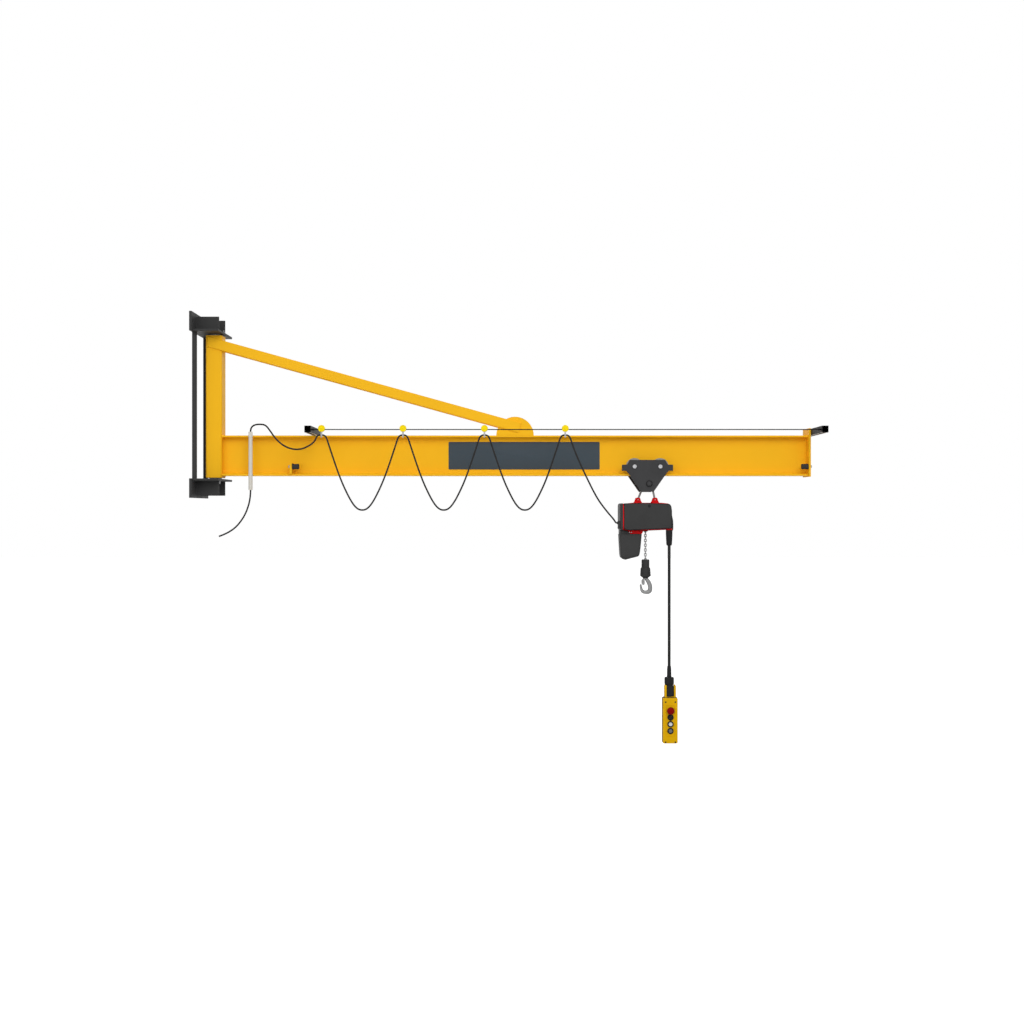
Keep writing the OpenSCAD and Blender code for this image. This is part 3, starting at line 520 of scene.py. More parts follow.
def add_bracket_details():
    """Fillet welds, the two round spacer bars and a nipple at each pivot."""
    shelf_low, shelf_high, rib = 37.5, 777.5, 72
    wall_x, half_wide, size = 12, 168, 3.5
    beads = []
    for y in (-80, -70, 70, 80):
        for z, wall_end in ((shelf_low, shelf_low - rib), (shelf_high, shelf_high + rib)):
            beads.append(bead([(16, y, z), (119, y, z)], size))
            beads.append(bead([(wall_x, y, z), (wall_x, y, wall_end)], size))
    for z in (shelf_low, shelf_high):
        beads.append(bead([(wall_x, -half_wide, z), (wall_x, half_wide, z)], size))
    piece("bracket_welds", "wall_bracket", "bracket_paint", *beads)
    bar = [(0.01, shelf_low + 0.1), (11.4, shelf_low + 0.1), (12, shelf_low + 0.8),
           (12, shelf_high - 0.8), (11.4, shelf_high - 0.1), (0.01, shelf_high - 0.1)]
    piece("front_spacer_bar", "wall_bracket", "bracket_paint", turned(bar, (wall_x, -126, 0), UP),
          replaces=["spacer_bars"])
    # The back bar takes the black rail finish as painted shade: its black stands for the shadow it
    # lies in behind the column.
    piece("back_spacer_bar", "wall_bracket", "rail_steel", turned(bar, (wall_x, 126, 0), UP))
    piece("grease_nipples", "wall_bracket", "bright_steel",
          *nipple((130, 0, shelf_high), UP), *nipple((111, 0, shelf_low), -UP))


# ---- Jib ----
BEAM_LOW, BEAM_TOP, FLANGE, WEB = 63.5, 263.5, 8.5, 2.8
JIB_END = 3040
INNER_STOP_X, BUFFER_Y = 481, 57
TIE_TOP, TIE_END, TIE_DEPTH = np.array([61, 754.7]), np.array([1615.6, 324.7]), 48
CONDUIT_X, CONDUIT_Y = 275, -60.3
ARM_X, OUTER_ARM_X = 581, 3050


def section_path(x):
    """Round the beam's section at x, a little short of the flange tips."""
    tip, low, high = 45, BEAM_LOW + FLANGE, BEAM_TOP - FLANGE
    return [(x, tip, low), (x, WEB + 8, low), (x, WEB + 1, low + 7), (x, WEB + 1, high - 7),
            (x, WEB + 8, high), (x, tip, high)]


def add_jib_welds():
    """Beads round both beam ends, along the tie bars' ends, the gussets and the stop plates."""
    beads, end_size, plate_size = [], 3.2, 2.6
    for x in (130.5, JIB_END - 0.5):
        for side in (1, -1):
            path = np.array(section_path(x)) * (1, side, 1)
            beads += [bead(path[i:i + 2], end_size) for i in range(len(path) - 1)]
        for z in (BEAM_LOW, BEAM_TOP):
            beads.append(bead([(x, -44, z), (x, 44, z)], end_size))
    along = unit(TIE_END - TIE_TOP)
    down = np.array([along[1], -along[0]])
    for y in (-50.5, 50.5):
        for corner, drop, near, far in (
                (TIE_TOP, 0, 6, 62), (TIE_TOP, TIE_DEPTH, 12, 72),
                (TIE_END, 0, -34, 0), (TIE_END, TIE_DEPTH, -84, 0)):
            edge = corner + down * drop
            a, b = edge + along * near, edge + along * far
            beads.append(bead([(a[0], y, a[1]), (b[0], y, b[1])], plate_size))
    for y in (-39.7, 39.7):
        beads.append(bead([(1496, y, BEAM_TOP), (1676, y, BEAM_TOP)], 3))
    for side in (-1, 1):
        for x in (469.8, 481.2):
            beads.append(bead([(x, side * 16, 72), (x, side * 47, 72)], plate_size))
            beads.append(bead([(x, side * 3.2, 86), (x, side * 3.2, 124)], plate_size))
    piece("jib_welds", "jib", "crane_yellow", *beads)


def add_stops():
    """Waisted rubber buffers, each held by a bolt through its stop plate."""
    shape = [(2, 0), (13.4, 0), (14, 1), (14, 6), (13.2, 12), (12.9, 18), (13.3, 25), (13.6, 30),
             (12.8, 33), (10.5, 34), (2, 34)]
    rubbers, bolts = [], []
    for y in (-BUFFER_Y, BUFFER_Y):
        rubbers.append(turned(shape, (INNER_STOP_X, y, WHEEL_Z), OUT, 32))
        rubbers.append(turned(shape, (JIB_END, y, WHEEL_Z), -OUT, 32))
        bolts += hex_head((INNER_STOP_X - 11, y, WHEEL_Z), -OUT)
        bolts += hex_head((JIB_END + 10, y, WHEEL_Z), OUT)
    piece("rubber_buffers", "jib", "buffer_rubber", *rubbers, replaces=["buffers"])
    piece("buffer_bolts", "jib", "bright_steel", *bolts)


def add_panel():
    """A bare plate with a rounded rim and eight blind rivets."""
    x0, x1, z0, z1, inset = 1254, 2009, 95.75, 233.75, 12
    plate = block(box_outline((x0, z0), (x1, z1), 5), -4.3, 1.5, edge=0.6)
    piece("bare_panel", "jib", "panel_grey", plate, replaces=["name_panel"])
    dome = [(3.2, 0), (3.2, 0.3), (2.6, 0.9), (1.4, 1.25), (0.01, 1.3)]
    rivets = [turned(dome, (x, -4.3, z), -BACK, 14)
              for x in np.linspace(x0 + inset, x1 - inset, 4) for z in (z0 + inset, z1 - inset)]
    piece("panel_rivets", "jib", "panel_grey", *rivets)


def add_conduit():
    """A plastic tube with its wall showing at both ends, held by two saddle clips."""
    low, high = -7.5, 281
    wall = [(8.2, low), (9.7, low), (10, low + 0.4), (10, high - 0.4), (9.7, high), (8.2, high)]
    piece("conduit_tube", "jib", "conduit_plastic",
          turned(wall, (CONDUIT_X, CONDUIT_Y, 0), UP, 40, loop=True), replaces=["conduit"])
    clips = []
    for z in (67.75, 259.25):
        clips.append(turned([(10.02, -4), (10.9, -4), (11.2, -3.6), (11.2, 3.6), (10.9, 4),
                             (10.02, 4)], (CONDUIT_X, CONDUIT_Y, z), UP, 32, loop=True))
        saddle = box_outline((CONDUIT_X - 10, z - 4), (CONDUIT_X + 10, z + 4), 2)
        clips.append(block(saddle, -52.2, 2.1, edge=0.5))
    piece("conduit_clips", "jib", "conduit_plastic", *clips)


def add_arms():
    """Pale strips under the rails, painted highlight on their lower edges, and a moulded cap on
    each front end.
    """
    lip_highlights, caps = [], []
    for x in (ARM_X, OUTER_ARM_X):
        # Pale strips in the conduit's cream finish on the rails' undersides: painted highlight of
        # the lit lower edges.
        for a, b in ((x + 0.2, x + 7.8), (x + 22.2, x + 29.8)):
            lip_highlights.append(block(box_outline((a, 263.1), (b, 263.6), 0.1), -326, 274, edge=0.05))
        caps.append(block(box_outline((x, 263.5), (x + 30, 295.5), 3), -330, 5, edge=1.6))
    piece("rail_lip_highlights", "jib", "conduit_plastic", *lip_highlights)
    piece("rail_caps", "jib", "moulded_black", *caps)


def add_guide_wire():
    """Six strands laid round a core: r = 2.3 (1 + 0.08 cos 6 (t - k x)), a turn every 26 mm."""
    rope_r, strands, lay_length = 2.3, 6, 26
    x = np.linspace(ARM_X + 30, OUTER_ARM_X, 1400)[:, None]
    t = np.arange(24)[None, :] * TURN / 24
    r = rope_r * (1 + 0.08 * np.cos(strands * (t - x * TURN / lay_length)))
    grid = np.stack([x + 0 * t, WIRE_Y + r * np.cos(t), WIRE_Z + r * np.sin(t)], 2)
    piece("guide_rope", "jib", "wire_steel", skin(grid), replaces=["guide_wire"])
    ferrule = [(2.2, 0), (4.2, 0), (4.6, 0.5), (4.6, 13.5), (4.2, 14), (2.2, 14)]
    ends = [turned(ferrule, (x, WIRE_Y, WIRE_Z), way, 20)
            for x, way in ((611.2, OUT), (3049.8, -OUT))]
    piece("rope_ferrules", "jib", "wire_steel", *ends)


def add_carriers():
    """Each carrier is a round moulding on the wire, a steel hanger and a band round the cable."""
    centre_z = 283.5
    half = [(0.01, 9.2), (3.2, 9.2), (3.6, 8.8), (3.6, 8.0), (6.1, 8.0), (6.6, 6.4), (12.6, 6.4),
            (13.4, 8.0), (15.0, 8.0), (16.2, 7.2), (16.5, 6.0)]
    body = half + [(r, -h) for r, h in half[::-1]]
    for i, x in enumerate(CLAMP_X):
        rider = "jib" if i == 0 else f"festoon_{i}"
        node = "end_clamp" if i == 0 else f"carrier_{i}"
        piece(f"{node}_disc", rider, "carrier_plastic", turned(body, (x, WIRE_Y, centre_z), BACK),
              replaces=[node])
        strap = rounded([(-4, 268), (-4, 256.5), (4, 256.5), (4, 268)], 1.2) + (x, 0)
        band = turned([(4.05, -4), (5.6, -4), (5.6, 4), (4.05, 4)], (x, WIRE_Y, CABLE_Z), OUT, 24,
                      loop=True)
        tab = block(box_outline((x - 4, 240.5), (x + 4, 247.6), 1.5), WIRE_Y - 1.6, 3.2, edge=0.5)
        legs = [block(strap, WIRE_Y + s * 2.3 - 0.9, 1.8, edge=0.5) for s in (-1, 1)]
        screw = hex_head((x, WIRE_Y - 1.6, 244), -BACK, 5.5, 2.4, washer=False)
        piece(f"{node}_hanger", rider, "bright_steel", band, tab, *legs, *screw)


# ---- Trolley ----
TROLLEY_X, WHEEL_DX, WHEEL_Z = 2242, 63.8, 108.7
CROSS, CROSS_R, RUN_GAP, BAR_R = np.array([2250.6, 24.0]), 12, 0.3, 5
LUG_X, LUG_Z = (2199.5, 2285), -55


def add_trolley_details():
    """Rings on the axle ends, a shield on each wheel's bearing, and the cross pin's ends."""
    groove = [(10.05, -4), (12.6, -4), (13, -3.6), (13, -2.4), (12.6, -2), (10.05, -2)]
    rings = [turned(groove, (TROLLEY_X + s * WHEEL_DX, m * 72.05, WHEEL_Z), m * BACK, 28, loop=True)
             for s in (-1, 1) for m in (-1, 1)]
    piece("axle_rings", "trolley", "trolley_paint", *rings)
    cover = [(10.4, -0.2), (24, -0.2), (24, 0.8), (22.6, 1.2), (21.6, 0.5), (14.6, 0.5),
             (13.8, 1.2), (10.4, 1.2)]
    for m, face in ((-1, "front"), (1, "back")):
        for s, hand in ((-1, "left"), (1, "right")):
            at = (TROLLEY_X + s * WHEEL_DX, m * 58.0, WHEEL_Z)
            piece(f"bearing_shield_{face}_{hand}", f"wheel_{face}_{hand}", "bright_steel",
                  turned(cover, at, m * BACK, 36, loop=True))
    end = [(4, 0), (8.4, 0), (9, 0.6), (9, 1.4), (8.4, 2), (4, 2)]
    seal = [(12.1, -1), (15.4, -1), (16, -0.4), (16, 0.6), (15.2, 1.2), (12.1, 1.2)]
    ends, seals = [], []
    for m in (-1, 1):
        at = (CROSS[0], m * 73, CROSS[1])
        ends.append(turned(end, at, m * BACK, 24))
        seals.append(turned(seal, at, m * BACK, 32, loop=True))
    piece("cross_pin_ends", "trolley", "trolley_paint", *ends)
    piece("cross_pin_seals", "trolley", "moulded_black", *seals)


def add_bail():
    """One bar bent over the cross pin, an eye at each end."""
    r = CROSS_R + RUN_GAP + BAR_R
    ends = [np.array([x, LUG_Z]) for x in LUG_X]
    angles = []
    for p, side in zip(ends, (-1, 1)):
        v = p - CROSS
        angles.append(math.atan2(v[1], v[0]) + side * math.acos(r / np.linalg.norm(v)))
    a = np.linspace(angles[0] + TURN, angles[1], 28)
    bend = CROSS + r * np.stack([np.cos(a), np.sin(a)], 1)
    flat = np.concatenate([ends[:1], bend, ends[1:]])
    path = np.stack([flat[:, 0], 0 * flat[:, 0], flat[:, 1]], 1)
    eye = [(6.4, -4.4), (7, -5), (10.4, -5), (11, -4.4), (11, 4.4), (10.4, 5), (7, 5), (6.4, 4.4)]
    first = path[0] + unit(path[1] - path[0]) * 8
    last = path[-1] + unit(path[-2] - path[-1]) * 8
    path = np.concatenate([[first], path[1:-1], [last]])
    eyes = [turned(eye, (x, 0, LUG_Z), BACK, 28, loop=True) for x in LUG_X]
    piece("bail_bar", "trolley", "hook_steel", tube(path, BAR_R, 20), *eyes, replaces=["bail"])


# ---- Hoist ----
HOIST_LOW, CAP_X, CHAIN_X = -210, 2105.5, 2238
COVER = [(2123.5, -74), (2239.5, -72.5), (2346, -76.5), (2353, -80), (2358, -90), (2361, -110),
         (2362, -188), (2361, -195), (2356, -198.5), (2330, -198.5), (2160, -206.5),
         (2138, -205), (2127.5, -201), (2123.5, -193)]


def add_hoist():
    """Dark covers front and back stand proud of the red frame, whose edge shows as a line. Black
    skins over the covers' rounded rims are painted shade.
    """
    outline = rounded(COVER, [5.6, 60, 10, 8, 14, 60, 8, 5.6, 5.6, 6, 40, 14, 10, 8], 4)
    covers = [block(outline, start, 43, edge=5, steps=5) for start in (-90, 47)]
    piece("hoist_covers", "trolley", "hoist_paint", *covers, replaces=["hoist_housing"])
    # A black skin laid over each cover's rounded rim: painted shade that darkens the rims.
    a = np.radians(np.linspace(90, 18, 6))
    rim_shade_rows = [(84.6, 0.3), *zip(85 + 5.35 * np.cos(a), 5 - 5.35 * np.sin(a)), (89.6, 3.9)]
    flat = without_repeats(outline)
    rim_shades = [skin(np.stack([placed(drawn_in(flat, by), m * y, "y") for y, by in rim_shade_rows]), loop=True)
             for m in (-1, 1)]
    piece("cover_rim_shades", "trolley", "moulded_black", *rim_shades)
    rim = box_outline((-90, -207), (90, -73.5), 18, 6)
    stations = [(0, 9), (0.5, 6.2), (1.9, 3.4), (4, 1.3), (6.4, 0.3), (8, 0), (13.2, 0),
                (13.6, 0.5)]
    cap = carried(rim, [(CAP_X + along, by) for along, by in stations], "x")
    foot = rounded([(2107.5, -188), (2107.5, -225.6), (2161.3, -225.6), (2149.3, -219.2),
                    (2145.3, -210.4), (2134, -209), (2124, -204), (2115.4, -204),
                    (2115.4, -188)], [2, 3, 1.6, 4, 2, 4, 4, 1, 2])
    piece("hoist_cap", "trolley", "hoist_paint", cap, block(foot, -54, 108, edge=1.4),
          replaces=["hoist_end_cap"])
    swell = rounded([(2345, -212), (2369, -212), (2372.5, -204), (2373, -196), (2373, -176),
                     (2372, -158), (2367, -134), (2361, -109), (2358, -90), (2345, -79)],
                    [6, 6, 8, 20, 30, 30, 40, 40, 8, 3.7], 4)
    piece("motor_cover", "trolley", "hoist_paint", block(swell, -42, 84, edge=3.2, steps=5),
          replaces=["hoist_motor_cover"])
    screws = [socket_head((x, m * 89.8, z), m * BACK, 3.4, 0.9)
              for x, z in ((2138, -84), (2340, -88), (2350, -186), (2142, -194))
              for m in (-1, 1)]
    piece("cover_screws", "trolley", "hoist_paint", *screws)
    plugs = [block(box_outline((2243, -94), (2256, -80), 3), s * 90 - 0.6, 1.2, edge=0.4)
             for s in (-1, 1)]
    piece("vent_plugs", "trolley", "moulded_black", *plugs)
    guide = [(7.3, 3), (12.4, 3), (12.4, -2.6), (11.4, -3.6), (8.3, -3.6), (7.3, -2.6)]
    piece("chain_guide", "trolley", "moulded_black",
          turned(guide, (CHAIN_X, 0, HOIST_LOW + 0.4), UP, 32, loop=True))


def add_lugs():
    """Forked red lugs, each with a hub and a steel pin through its eye."""
    forks, pins = [], []
    for x in LUG_X:
        ear = rounded([(x - 20, -71), (x + 20, -71), (x + 14, -57), (x + 11, -45),
                       (x - 11, -45), (x - 14, -57)], [2, 2, 10, 9, 9, 10], 5)
        forks += [block(ear, y, 7, edge=1.4) for y in (-14, 7)]
        foot = box_outline((x - 20, -17), (x + 20, 17), 4)
        forks.append(block(foot, -70.4, 3.9, axis="z", edge=1.2))
        hub = [(0.01, -16.6), (5.4, -16.6), (6, -16), (6, 16), (5.4, 16.6), (0.01, 16.6)]
        forks.append(turned(hub, (x, 0, LUG_Z), BACK, 24))
        pin = [(0.01, -17.4), (1.9, -17.4), (2.3, -17), (2.3, 17), (1.9, 17.4), (0.01, 17.4)]
        pins.append(turned(pin, (x, 0, LUG_Z), BACK, 20))
    piece("lug_forks", "trolley", "hoist_red", *forks, replaces=["hoist_lugs"])
    piece("lug_pins", "trolley", "bright_steel", *pins)


def add_chute():
    """The red chute that leads the slack chain into the bag."""
    outline = rounded([(2146, -209), (2225, -209), (2220, -218), (2214.5, -226), (2163, -226),
                       (2150, -219)], [3.4, 2.9, 8, 3.4, 3.4, 6], 5)
    piece("chute_shell", "trolley", "hoist_red", block(outline, -50, 100, edge=2.6, steps=4),
          replaces=["chain_chute"])
    bolts = [socket_head((x, s * 49.8, -217.5), s * BACK, 3, 1.8) for x in (2153.5, 2163.5)
             for s in (-1, 1)]
    piece("chute_bolts", "trolley", "bright_steel", *bolts)


BAG_RINGS = [(2104, -226, 2216.5, -226, 55), (2104, -229, 2216.3, -229, 55),
             (2105.6, -258, 2213.8, -258, 55), (2107.4, -292, 2210.6, -292, 54.8),
             (2109.2, -320, 2207.6, -316, 54.4), (2110.4, -333.6, 2205.6, -325.8, 53.8),
             (2112.4, -341.6, 2202.6, -332.8, 52), (2118, -347.6, 2197.6, -337.2, 48),
             (2125, -352.2, 2189.6, -340, 40), (2136, -355, 2179, -343.4, 26),
             (2157, -349.6, 2159, -349, 1)]
BAG_WALL = 3.0


def add_bag():
    """Ring points are (c, s) (|c|^9 + |s|^9)^(-1/9) for c, s = cos t, sin t: a rounded square
    stretched between the bag's left and right side, whose heights tilt the ring. The skin comes
    up inside, goes over the rim and down outside."""
    t = np.arange(96) * TURN / 96
    c, s = np.cos(t), np.sin(t)
    reach = (np.abs(c) ** 9 + np.abs(s) ** 9) ** (-1 / 9)
    x0, z0, x1, z1, half = np.array(BAG_RINGS, float).T[:, :, None]

    def shell(wall):
        share = 0.5 + 0.5 * c * reach
        x = x0 + wall + share * (x1 - x0 - 2 * wall)
        z = z0 + share * (z1 - z0) + np.where(z0 < -300, wall, 0)
        return np.stack([x, s * reach * (half - wall), z], 2)

    inside = shell(BAG_WALL)[:10][::-1]
    piece("bag_shell", "trolley", "bag_plastic", skin(np.concatenate([inside, shell(0.0)])),
          replaces=["chain_bag"])


def add_inlet():
    """A flanged box on the end cap, with the gland that takes the cable."""
    plate = block(box_outline((-80, -200), (-40, -160), 5), CAP_X - 9.5, 10.5, axis="x", edge=2)
    neck = turned([(4.1, -1), (7.6, -1), (7.6, 1.6), (7, 2.2), (6, 2.6), (5.6, 4), (4.1, 4)],
                  (CAP_X - 9.5, -60, -171), -OUT, 28)
    screws = [socket_head((CAP_X - 9.4, y, z), -OUT, 2.2, 1.2)
              for y in (-75, -45) for z in (-195, -165)]
    piece("inlet_box", "trolley", "hoist_paint", plate, *screws, replaces=["cable_inlet"])
    piece("inlet_gland", "trolley", "moulded_black", neck)


# ---- Pendant ----
BOX_X, BOX_TOP, FACE_Y, GUARD_X = 2353, -1035, -90, 2354
BUTTON_Z = [BOX_TOP - 61.5 - 33.5 * i for i in range(4)]


def add_pendant_line_ends():
    """Ribbed sleeve above, and below it a strain relief, a faceted nut and the black neck."""
    top = -205
    z = np.linspace(27, 70, 31)
    r = 16.4 - 2.2 * (z - 27) / 43 - 0.6 * (np.arange(31) % 5 == 2)
    profile = [(7.2, 0.3), (15.6, 0.3), (16.5, -0.6), *zip(r, -z), (13.8, -73), (12, -76.4),
               (9.4, -78), (7.6, -78.4)]
    piece("pendant_sleeve_ribs", "trolley", "moulded_black",
          turned(profile, (DROP_X, DROP_Y, top), UP, 32), replaces=["pendant_sleeve"])
    relief = [(7.6, -879), (8.6, -879.4), (9.6, -884), (10.4, -894), (10.8, -910), (11.2, -926),
              (11.4, -937)]
    nut = [(11.6, -935), (21.5, -935), (23.6, -938), (24, -942), (24, -966), (22.4, -970),
           (20, -972)]
    neck = [(19.4, -971.5), (19.4, -977), (17.4, -983), (17.4, -1030)]
    at = (DROP_X, DROP_Y, 0)
    facets = turned(nut, at, UP, 10)
    middle = block(box_outline((GUARD_X - 17.5, -1029), (GUARD_X + 17.5, -976), 4), DROP_Y - 18,
                   36, edge=3, steps=4)
    piece("pendant_gland", "trolley", "moulded_black", turned(relief, at, UP, 32), facets,
          turned(neck, at, UP, 32), middle, replaces=["pendant_boot"])


def add_pendant_case():
    """A two-part case: its sides are drawn in at the parting line and round at both faces."""
    outline = rounded([(BOX_X - 36.5, BOX_TOP - 225), (BOX_X + 36.5, BOX_TOP - 225),
                       (BOX_X + 36.5, BOX_TOP), (BOX_X - 36.5, BOX_TOP)], 7, 5)
    rim = [(FACE_Y + 5 * (1 - math.cos(a)), 5 * (1 - math.sin(a)))
           for a in np.linspace(0, math.pi / 2, 5)]
    seam = FACE_Y + 34
    stations = rim + [(seam - 1, 0), (seam - 0.6, 1), (seam + 0.6, 1), (seam + 1, 0)]
    stations += [(-60 - (y + 60), by) for y, by in rim[::-1]]
    piece("pendant_case", "trolley", "pendant_yellow", carried(outline, stations),
          replaces=["pendant_box"])
    # A black band round the case's sides: a gasket whose black also stands in for the shade on the
    # sides (painted shade).
    lip = [(-66, 1.5), (-66, -0.8), (-65.4, -1.3), (-48.6, -1.3), (-48, -0.8), (-48, 1.5)]
    flat = without_repeats(outline)
    gasket_and_side_shade = skin(np.stack([placed(drawn_in(flat, by), y, "y") for y, by in lip]), loop=True)
    # A black strip on the case's top under the guard: painted shadow in the gap between guard and
    # case.
    saddle = block(box_outline((BOX_X - 32, BOX_TOP - 1), (BOX_X + 32, BOX_TOP + 1.8), 1),
                   FACE_Y + 4, 44, edge=0.6)
    piece("case_gasket_and_shade", "trolley", "moulded_black", gasket_and_side_shade, saddle)
    arms = []
    for s in (-1, 1):
        arm = rounded([(s * 28, -1035.5), (s * 28, -980), (s * 25.5, -973), (s * 20.5, -972),
                       (s * 18.5, -976), (s * 18.5, -1035.5)], [2, 8, 3, 2.2, 3, 2], 4)
        arms.append(block(arm + (GUARD_X, 0), DROP_Y - 20, 40, edge=1.8))
    foot = rounded([(-27, -1037), (27, -1037), (27, -1029), (-27, -1029)], 1.8)
    arms.append(block(foot + (GUARD_X, 0), DROP_Y - 14, 28, edge=1.5))
    piece("pendant_guard", "trolley", "pendant_yellow", *arms, replaces=["pendant_hoop"])
    frame_out = box_outline((BOX_X - 23, BUTTON_Z[3] - 26), (BOX_X + 23, BUTTON_Z[0] + 27), 5)
    frame_in = box_outline((BOX_X - 21, BUTTON_Z[3] - 24), (BOX_X + 21, BUTTON_Z[0] + 25), 3.5)
    rows = [placed(drawn_in(edge, by), FACE_Y + y, "y") for edge, by, y in (
        (frame_out, 0, 0.2), (frame_out, 0, -1.6), (frame_out, 0.4, -2),
        (frame_in, -0.4, -2), (frame_in, 0, -1.6), (frame_in, 0, 0.2))]
    piece("button_surround", "trolley", "pendant_yellow", skin(np.stack(rows), loop=True))
    screws = [socket_head((BOX_X + x, FACE_Y + 0.2, z), -BACK, 4.0, 1.4)
              for x in (-23.5, 24.5) for z in (-1055, -1253)]
    piece("case_screws", "trolley", "moulded_black", *screws)


def add_buttons():
    """Dark collars round domed caps; the stop button is a mushroom."""
    ring = [(9.9, 0.3), (15.2, 0.3), (15.6, -0.4), (15.4, -4.4), (14.4, -5.6), (12.6, -6),
            (11, -5.8), (9.9, -4.8)]
    collars = [turned(ring, (BOX_X, FACE_Y, z), BACK, 36, loop=True) for z in BUTTON_Z]
    piece("button_collars", "trolley", "button_black", *collars, replaces=["button_rings"])
    head = [(9.3, 4), (9.3, -11.4), (16.5, -11.6), (18.3, -12.6), (18.6, -14.4), (18.2, -17.5),
            (16.8, -20), (14, -21.6), (9, -22.6), (4, -22.95), (0.3, -23)]
    piece("stop_mushroom", "stop_button", "button_red",
          turned(head, (BOX_X, FACE_Y, BUTTON_Z[0]), BACK, 40), replaces=["stop_button"])
    cap = [(9.3, 4.5), (9.3, -8.6), (8.7, -9.6), (7.2, -10.1), (3.5, -10.5), (0.3, -10.6)]
    for i, slot in ((1, "button_black"), (2, "button_white"), (3, "button_grey")):
        piece(f"push_cap_{i}", f"push_button_{i}", slot,
              turned(cap, (BOX_X, FACE_Y, BUTTON_Z[i]), BACK, 36), replaces=[f"button_{i}"])


# ---- Hook block and hook ----
BLOCK_TOP = -353.5
HOOK_LINE = [(2238, -440, 7), (2239, -448, 8), (2243, -452, 8.6), (2248.4, -458, 9.6),
             (2253.5, -466.5, 10.6), (2258, -476, 10.8), (2261.2, -486, 10.6),
             (2261.8, -497, 10.9), (2260, -509.5, 11.9), (2252.5, -516.3, 10.8),
             (2240, -517.8, 8.6), (2231, -516.6, 8.4), (2223, -513, 8.2), (2219, -506, 7.2),
             (2216.2, -496, 6), (2214.6, -487, 5.4), (2214.2, -481.5, 5), (2214.6, -477.6, 3.4)]
LATCH_PIN = (2229, -460.5)


def add_block():
    """A waisted shell in two halves, screwed together, with a well for the last link."""
    shape = [(8.9, -14), (8.9, -1), (9.8, 0), (17.6, 0), (19.4, -1.2), (19.9, -3), (20, -39.5),
             (21, -41.2), (23.8, -42.6), (24.6, -44.5), (26.6, -79.5), (26.2, -82.5),
             (24.6, -84.2), (15.6, -89.4), (14.4, -90.4), (14.2, -93.4), (13.6, -94), (7.2, -94),
             (7.2, -80)]
    piece("block_shell", "hook_block", "block_paint",
          turned(shape, (CHAIN_X, 0, BLOCK_TOP), UP, 48), replaces=["hook_block"])
    screws = [socket_head((CHAIN_X + x, m * y, BLOCK_TOP + z), m * BACK, 3.4, 2.6)
              for m in (-1, 1)
              for x, y, z in ((-9, 16.4, -28), (9, 16.4, -28), (-13, 20.2, -66), (13, 20.2, -66))]
    piece("block_screws", "hook_block", "block_paint", *screws)
    pin = [(0.01, -9.5), (1.9, -9.5), (1.9, 9.5), (0.01, 9.5)]
    piece("chain_anchor_pin", "hook_block", "chain_steel",
          turned(pin, (CHAIN_X, 0, BLOCK_TOP - 5.0), BACK, 16))


def add_hook():
    """A forged hook: an ellipse carried along its centre line, whose half width in the bowl's
    plane swells from the neck to the back and thins to the tip."""
    line = np.array(HOOK_LINE, float)
    line = eased(np.stack([line[:, 0], line[:, 2], line[:, 1]], 1), 2)
    flat = np.stack([line[:, 0], 0 * line[:, 0], line[:, 2]], 1)
    wide, deep = line[:, 1], np.minimum(line[:, 1], 8.2)
    heading = unit(np.gradient(flat, axis=0))
    side = np.cross(BACK, heading)
    t = np.arange(28)[None, :, None] * TURN / 28
    grid = flat[:, None] + wide[:, None, None] * np.cos(t) * side[:, None] \
        + deep[:, None, None] * np.sin(t) * BACK
    pivot = (LATCH_PIN[0], 0, LATCH_PIN[1])
    boss = turned([(2, -8.7), (4.2, -8.7), (4.6, -8.3), (4.6, 8.3), (4.2, 8.7), (2, 8.7)],
                  pivot, BACK, 24)
    pin = turned([(0.01, -12), (2.1, -12), (2.45, -11.6), (2.45, 11.6), (2.1, 12), (0.01, 12)],
                 pivot, BACK, 20)
    collar = turned([(7, 0), (11.4, 0), (12, 0.6), (12, 2.6), (11.4, 3.2), (7, 3.2)],
                    (CHAIN_X, 0, -451.4), UP, 32)
    piece("forged_hook", "hook", "hook_steel", skin(grid), boss, pin, collar, replaces=["hook"])
    wing = rounded([(-6.5, 9), (0, 10), (4.5, 5), (5, -6), (4.6, -16), (1.5, -20.5), (-5, -20.5),
                    (-9.5, -15), (-10.5, -4), (-9.5, 3)], [3, 4, 4, 8, 3, 3, 3, 3, 6, 4])
    sheet = rounded([(-10.2, -4), (-9.4, -15.2), (-5.2, -20.3), (-3.6, -20.3), (-3.6, -18.6),
                     (-7.6, -14.6), (-8.4, -4)], [0.4, 1, 0.4, 0.4, 0.4, 1, 0.4])
    wings = [block(wing + LATCH_PIN, y, 1.8, edge=0.5) for y in (-10.9, 9.1)]
    back = block(sheet + LATCH_PIN, -9.4, 18.8, edge=0.3)
    piece("throat_latch", "latch", "hook_steel", *wings, back, replaces=["latch"])


# ---- Floor, lamps and sky, in metres ----
FLOOR_Z, FLOOR_HALF = -2.3, 60.0
AIM = (1.6, 0, 0)


def seen_or_mirrored(tree, otherwise, then):
    """One strength for rays from the camera, a glossy surface or clear glass, another for the
    light that falls on the object."""
    path = tree.nodes.new("ShaderNodeLightPath")
    seen = path.outputs["Is Camera Ray"]
    for kind in ("Is Glossy Ray", "Is Transmission Ray"):
        most = tree.nodes.new("ShaderNodeMath")
        most.operation = "MAXIMUM"
        tree.links.new(seen, most.inputs[0])
        tree.links.new(path.outputs[kind], most.inputs[1])
        seen = most.outputs["Value"]
    return mapped(tree, seen, otherwise, then, 0, 1)


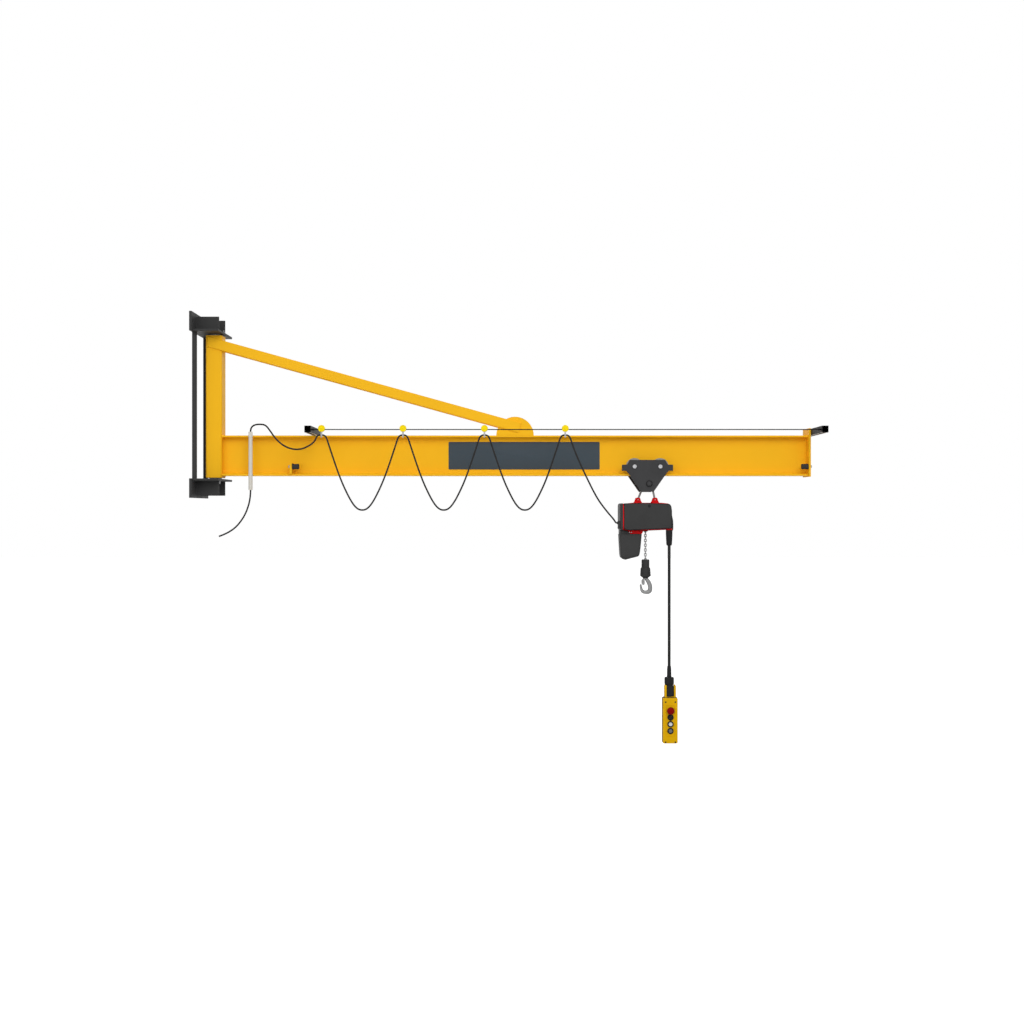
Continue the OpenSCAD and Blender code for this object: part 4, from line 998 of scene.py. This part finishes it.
def add_stage():
    """A wide white floor."""
    mesh = bpy.data.meshes.new("floor")
    corners = [(x * FLOOR_HALF, y * FLOOR_HALF, FLOOR_Z)
               for x, y in ((-1, -1), (1, -1), (1, 1), (-1, 1))]
    mesh.from_pydata(corners, [], [(0, 1, 2, 3)])
    floor = bpy.data.objects.new("floor", mesh)
    bpy.context.scene.collection.objects.link(floor)
    material = bpy.data.materials.new("floor")
    material.use_nodes = True
    tree = material.node_tree
    shader = tree.nodes["Principled BSDF"]
    shader.inputs["Base Color"].default_value = (0.5, 0.5, 0.5, 1)
    shader.inputs["Roughness"].default_value = 0.9
    shader.inputs["Specular IOR Level"].default_value = 0.1
    shader.inputs["Emission Color"].default_value = (1, 1, 1, 1)
    tree.links.new(seen_or_mirrored(tree, 0.0, 0.95), shader.inputs["Emission Strength"])
    mesh.materials.append(material)


def add_lamp(name, place, size, watts):
    """A round soft lamp that points at the middle of the jib."""
    data = bpy.data.lights.new(name, "AREA")
    data.shape = "DISK"
    data.size = size
    data.energy = watts
    lamp = bpy.data.objects.new(name, data)
    bpy.context.scene.collection.objects.link(lamp)
    way = np.array(AIM, float) - np.array(place, float)
    lamp.location = place
    lamp.rotation_euler = Vector(way).to_track_quat("-Z", "Y").to_euler()


def add_light():
    """A white sky and three soft lamps."""
    world = bpy.data.worlds.new("sky")
    bpy.context.scene.world = world
    world.use_nodes = True
    tree = world.node_tree
    back = tree.nodes["Background"]
    back.inputs["Color"].default_value = (1, 1, 1, 1)
    tree.links.new(seen_or_mirrored(tree, 0.52, 1.0), back.inputs["Strength"])
    add_lamp("key", (3.0, -5.6, 2.6), 4.5, 170)
    add_lamp("fill", (-1.2, -5.4, 0.9), 5.0, 80)
    add_lamp("top", (1.6, 1.2, 4.6), 5.0, 45)


dress_nodes()
ease_edges(1.0, "upper_wall_plate", "lower_wall_plate", "bearing_plates", "side_plates",
           "column", "beam", "end_plate", "tie_bars", "gusset_plates", "stop_plates")
ease_edges(0.8, "front_side_plate", "back_side_plate", "axles", "cross_pin")
ease_edges(1.2, "hoist_band")
add_cables()
add_cable_end()
add_bracket_details()
add_jib_welds()
add_stops()
add_panel()
add_conduit()
add_arms()
add_guide_wire()
add_carriers()
add_trolley_details()
add_bail()
add_hoist()
add_lugs()
add_chute()
add_bag()
add_inlet()
add_pendant_line_ends()
add_pendant_case()
add_buttons()
add_block()
add_hook()
add_stage()
add_light()
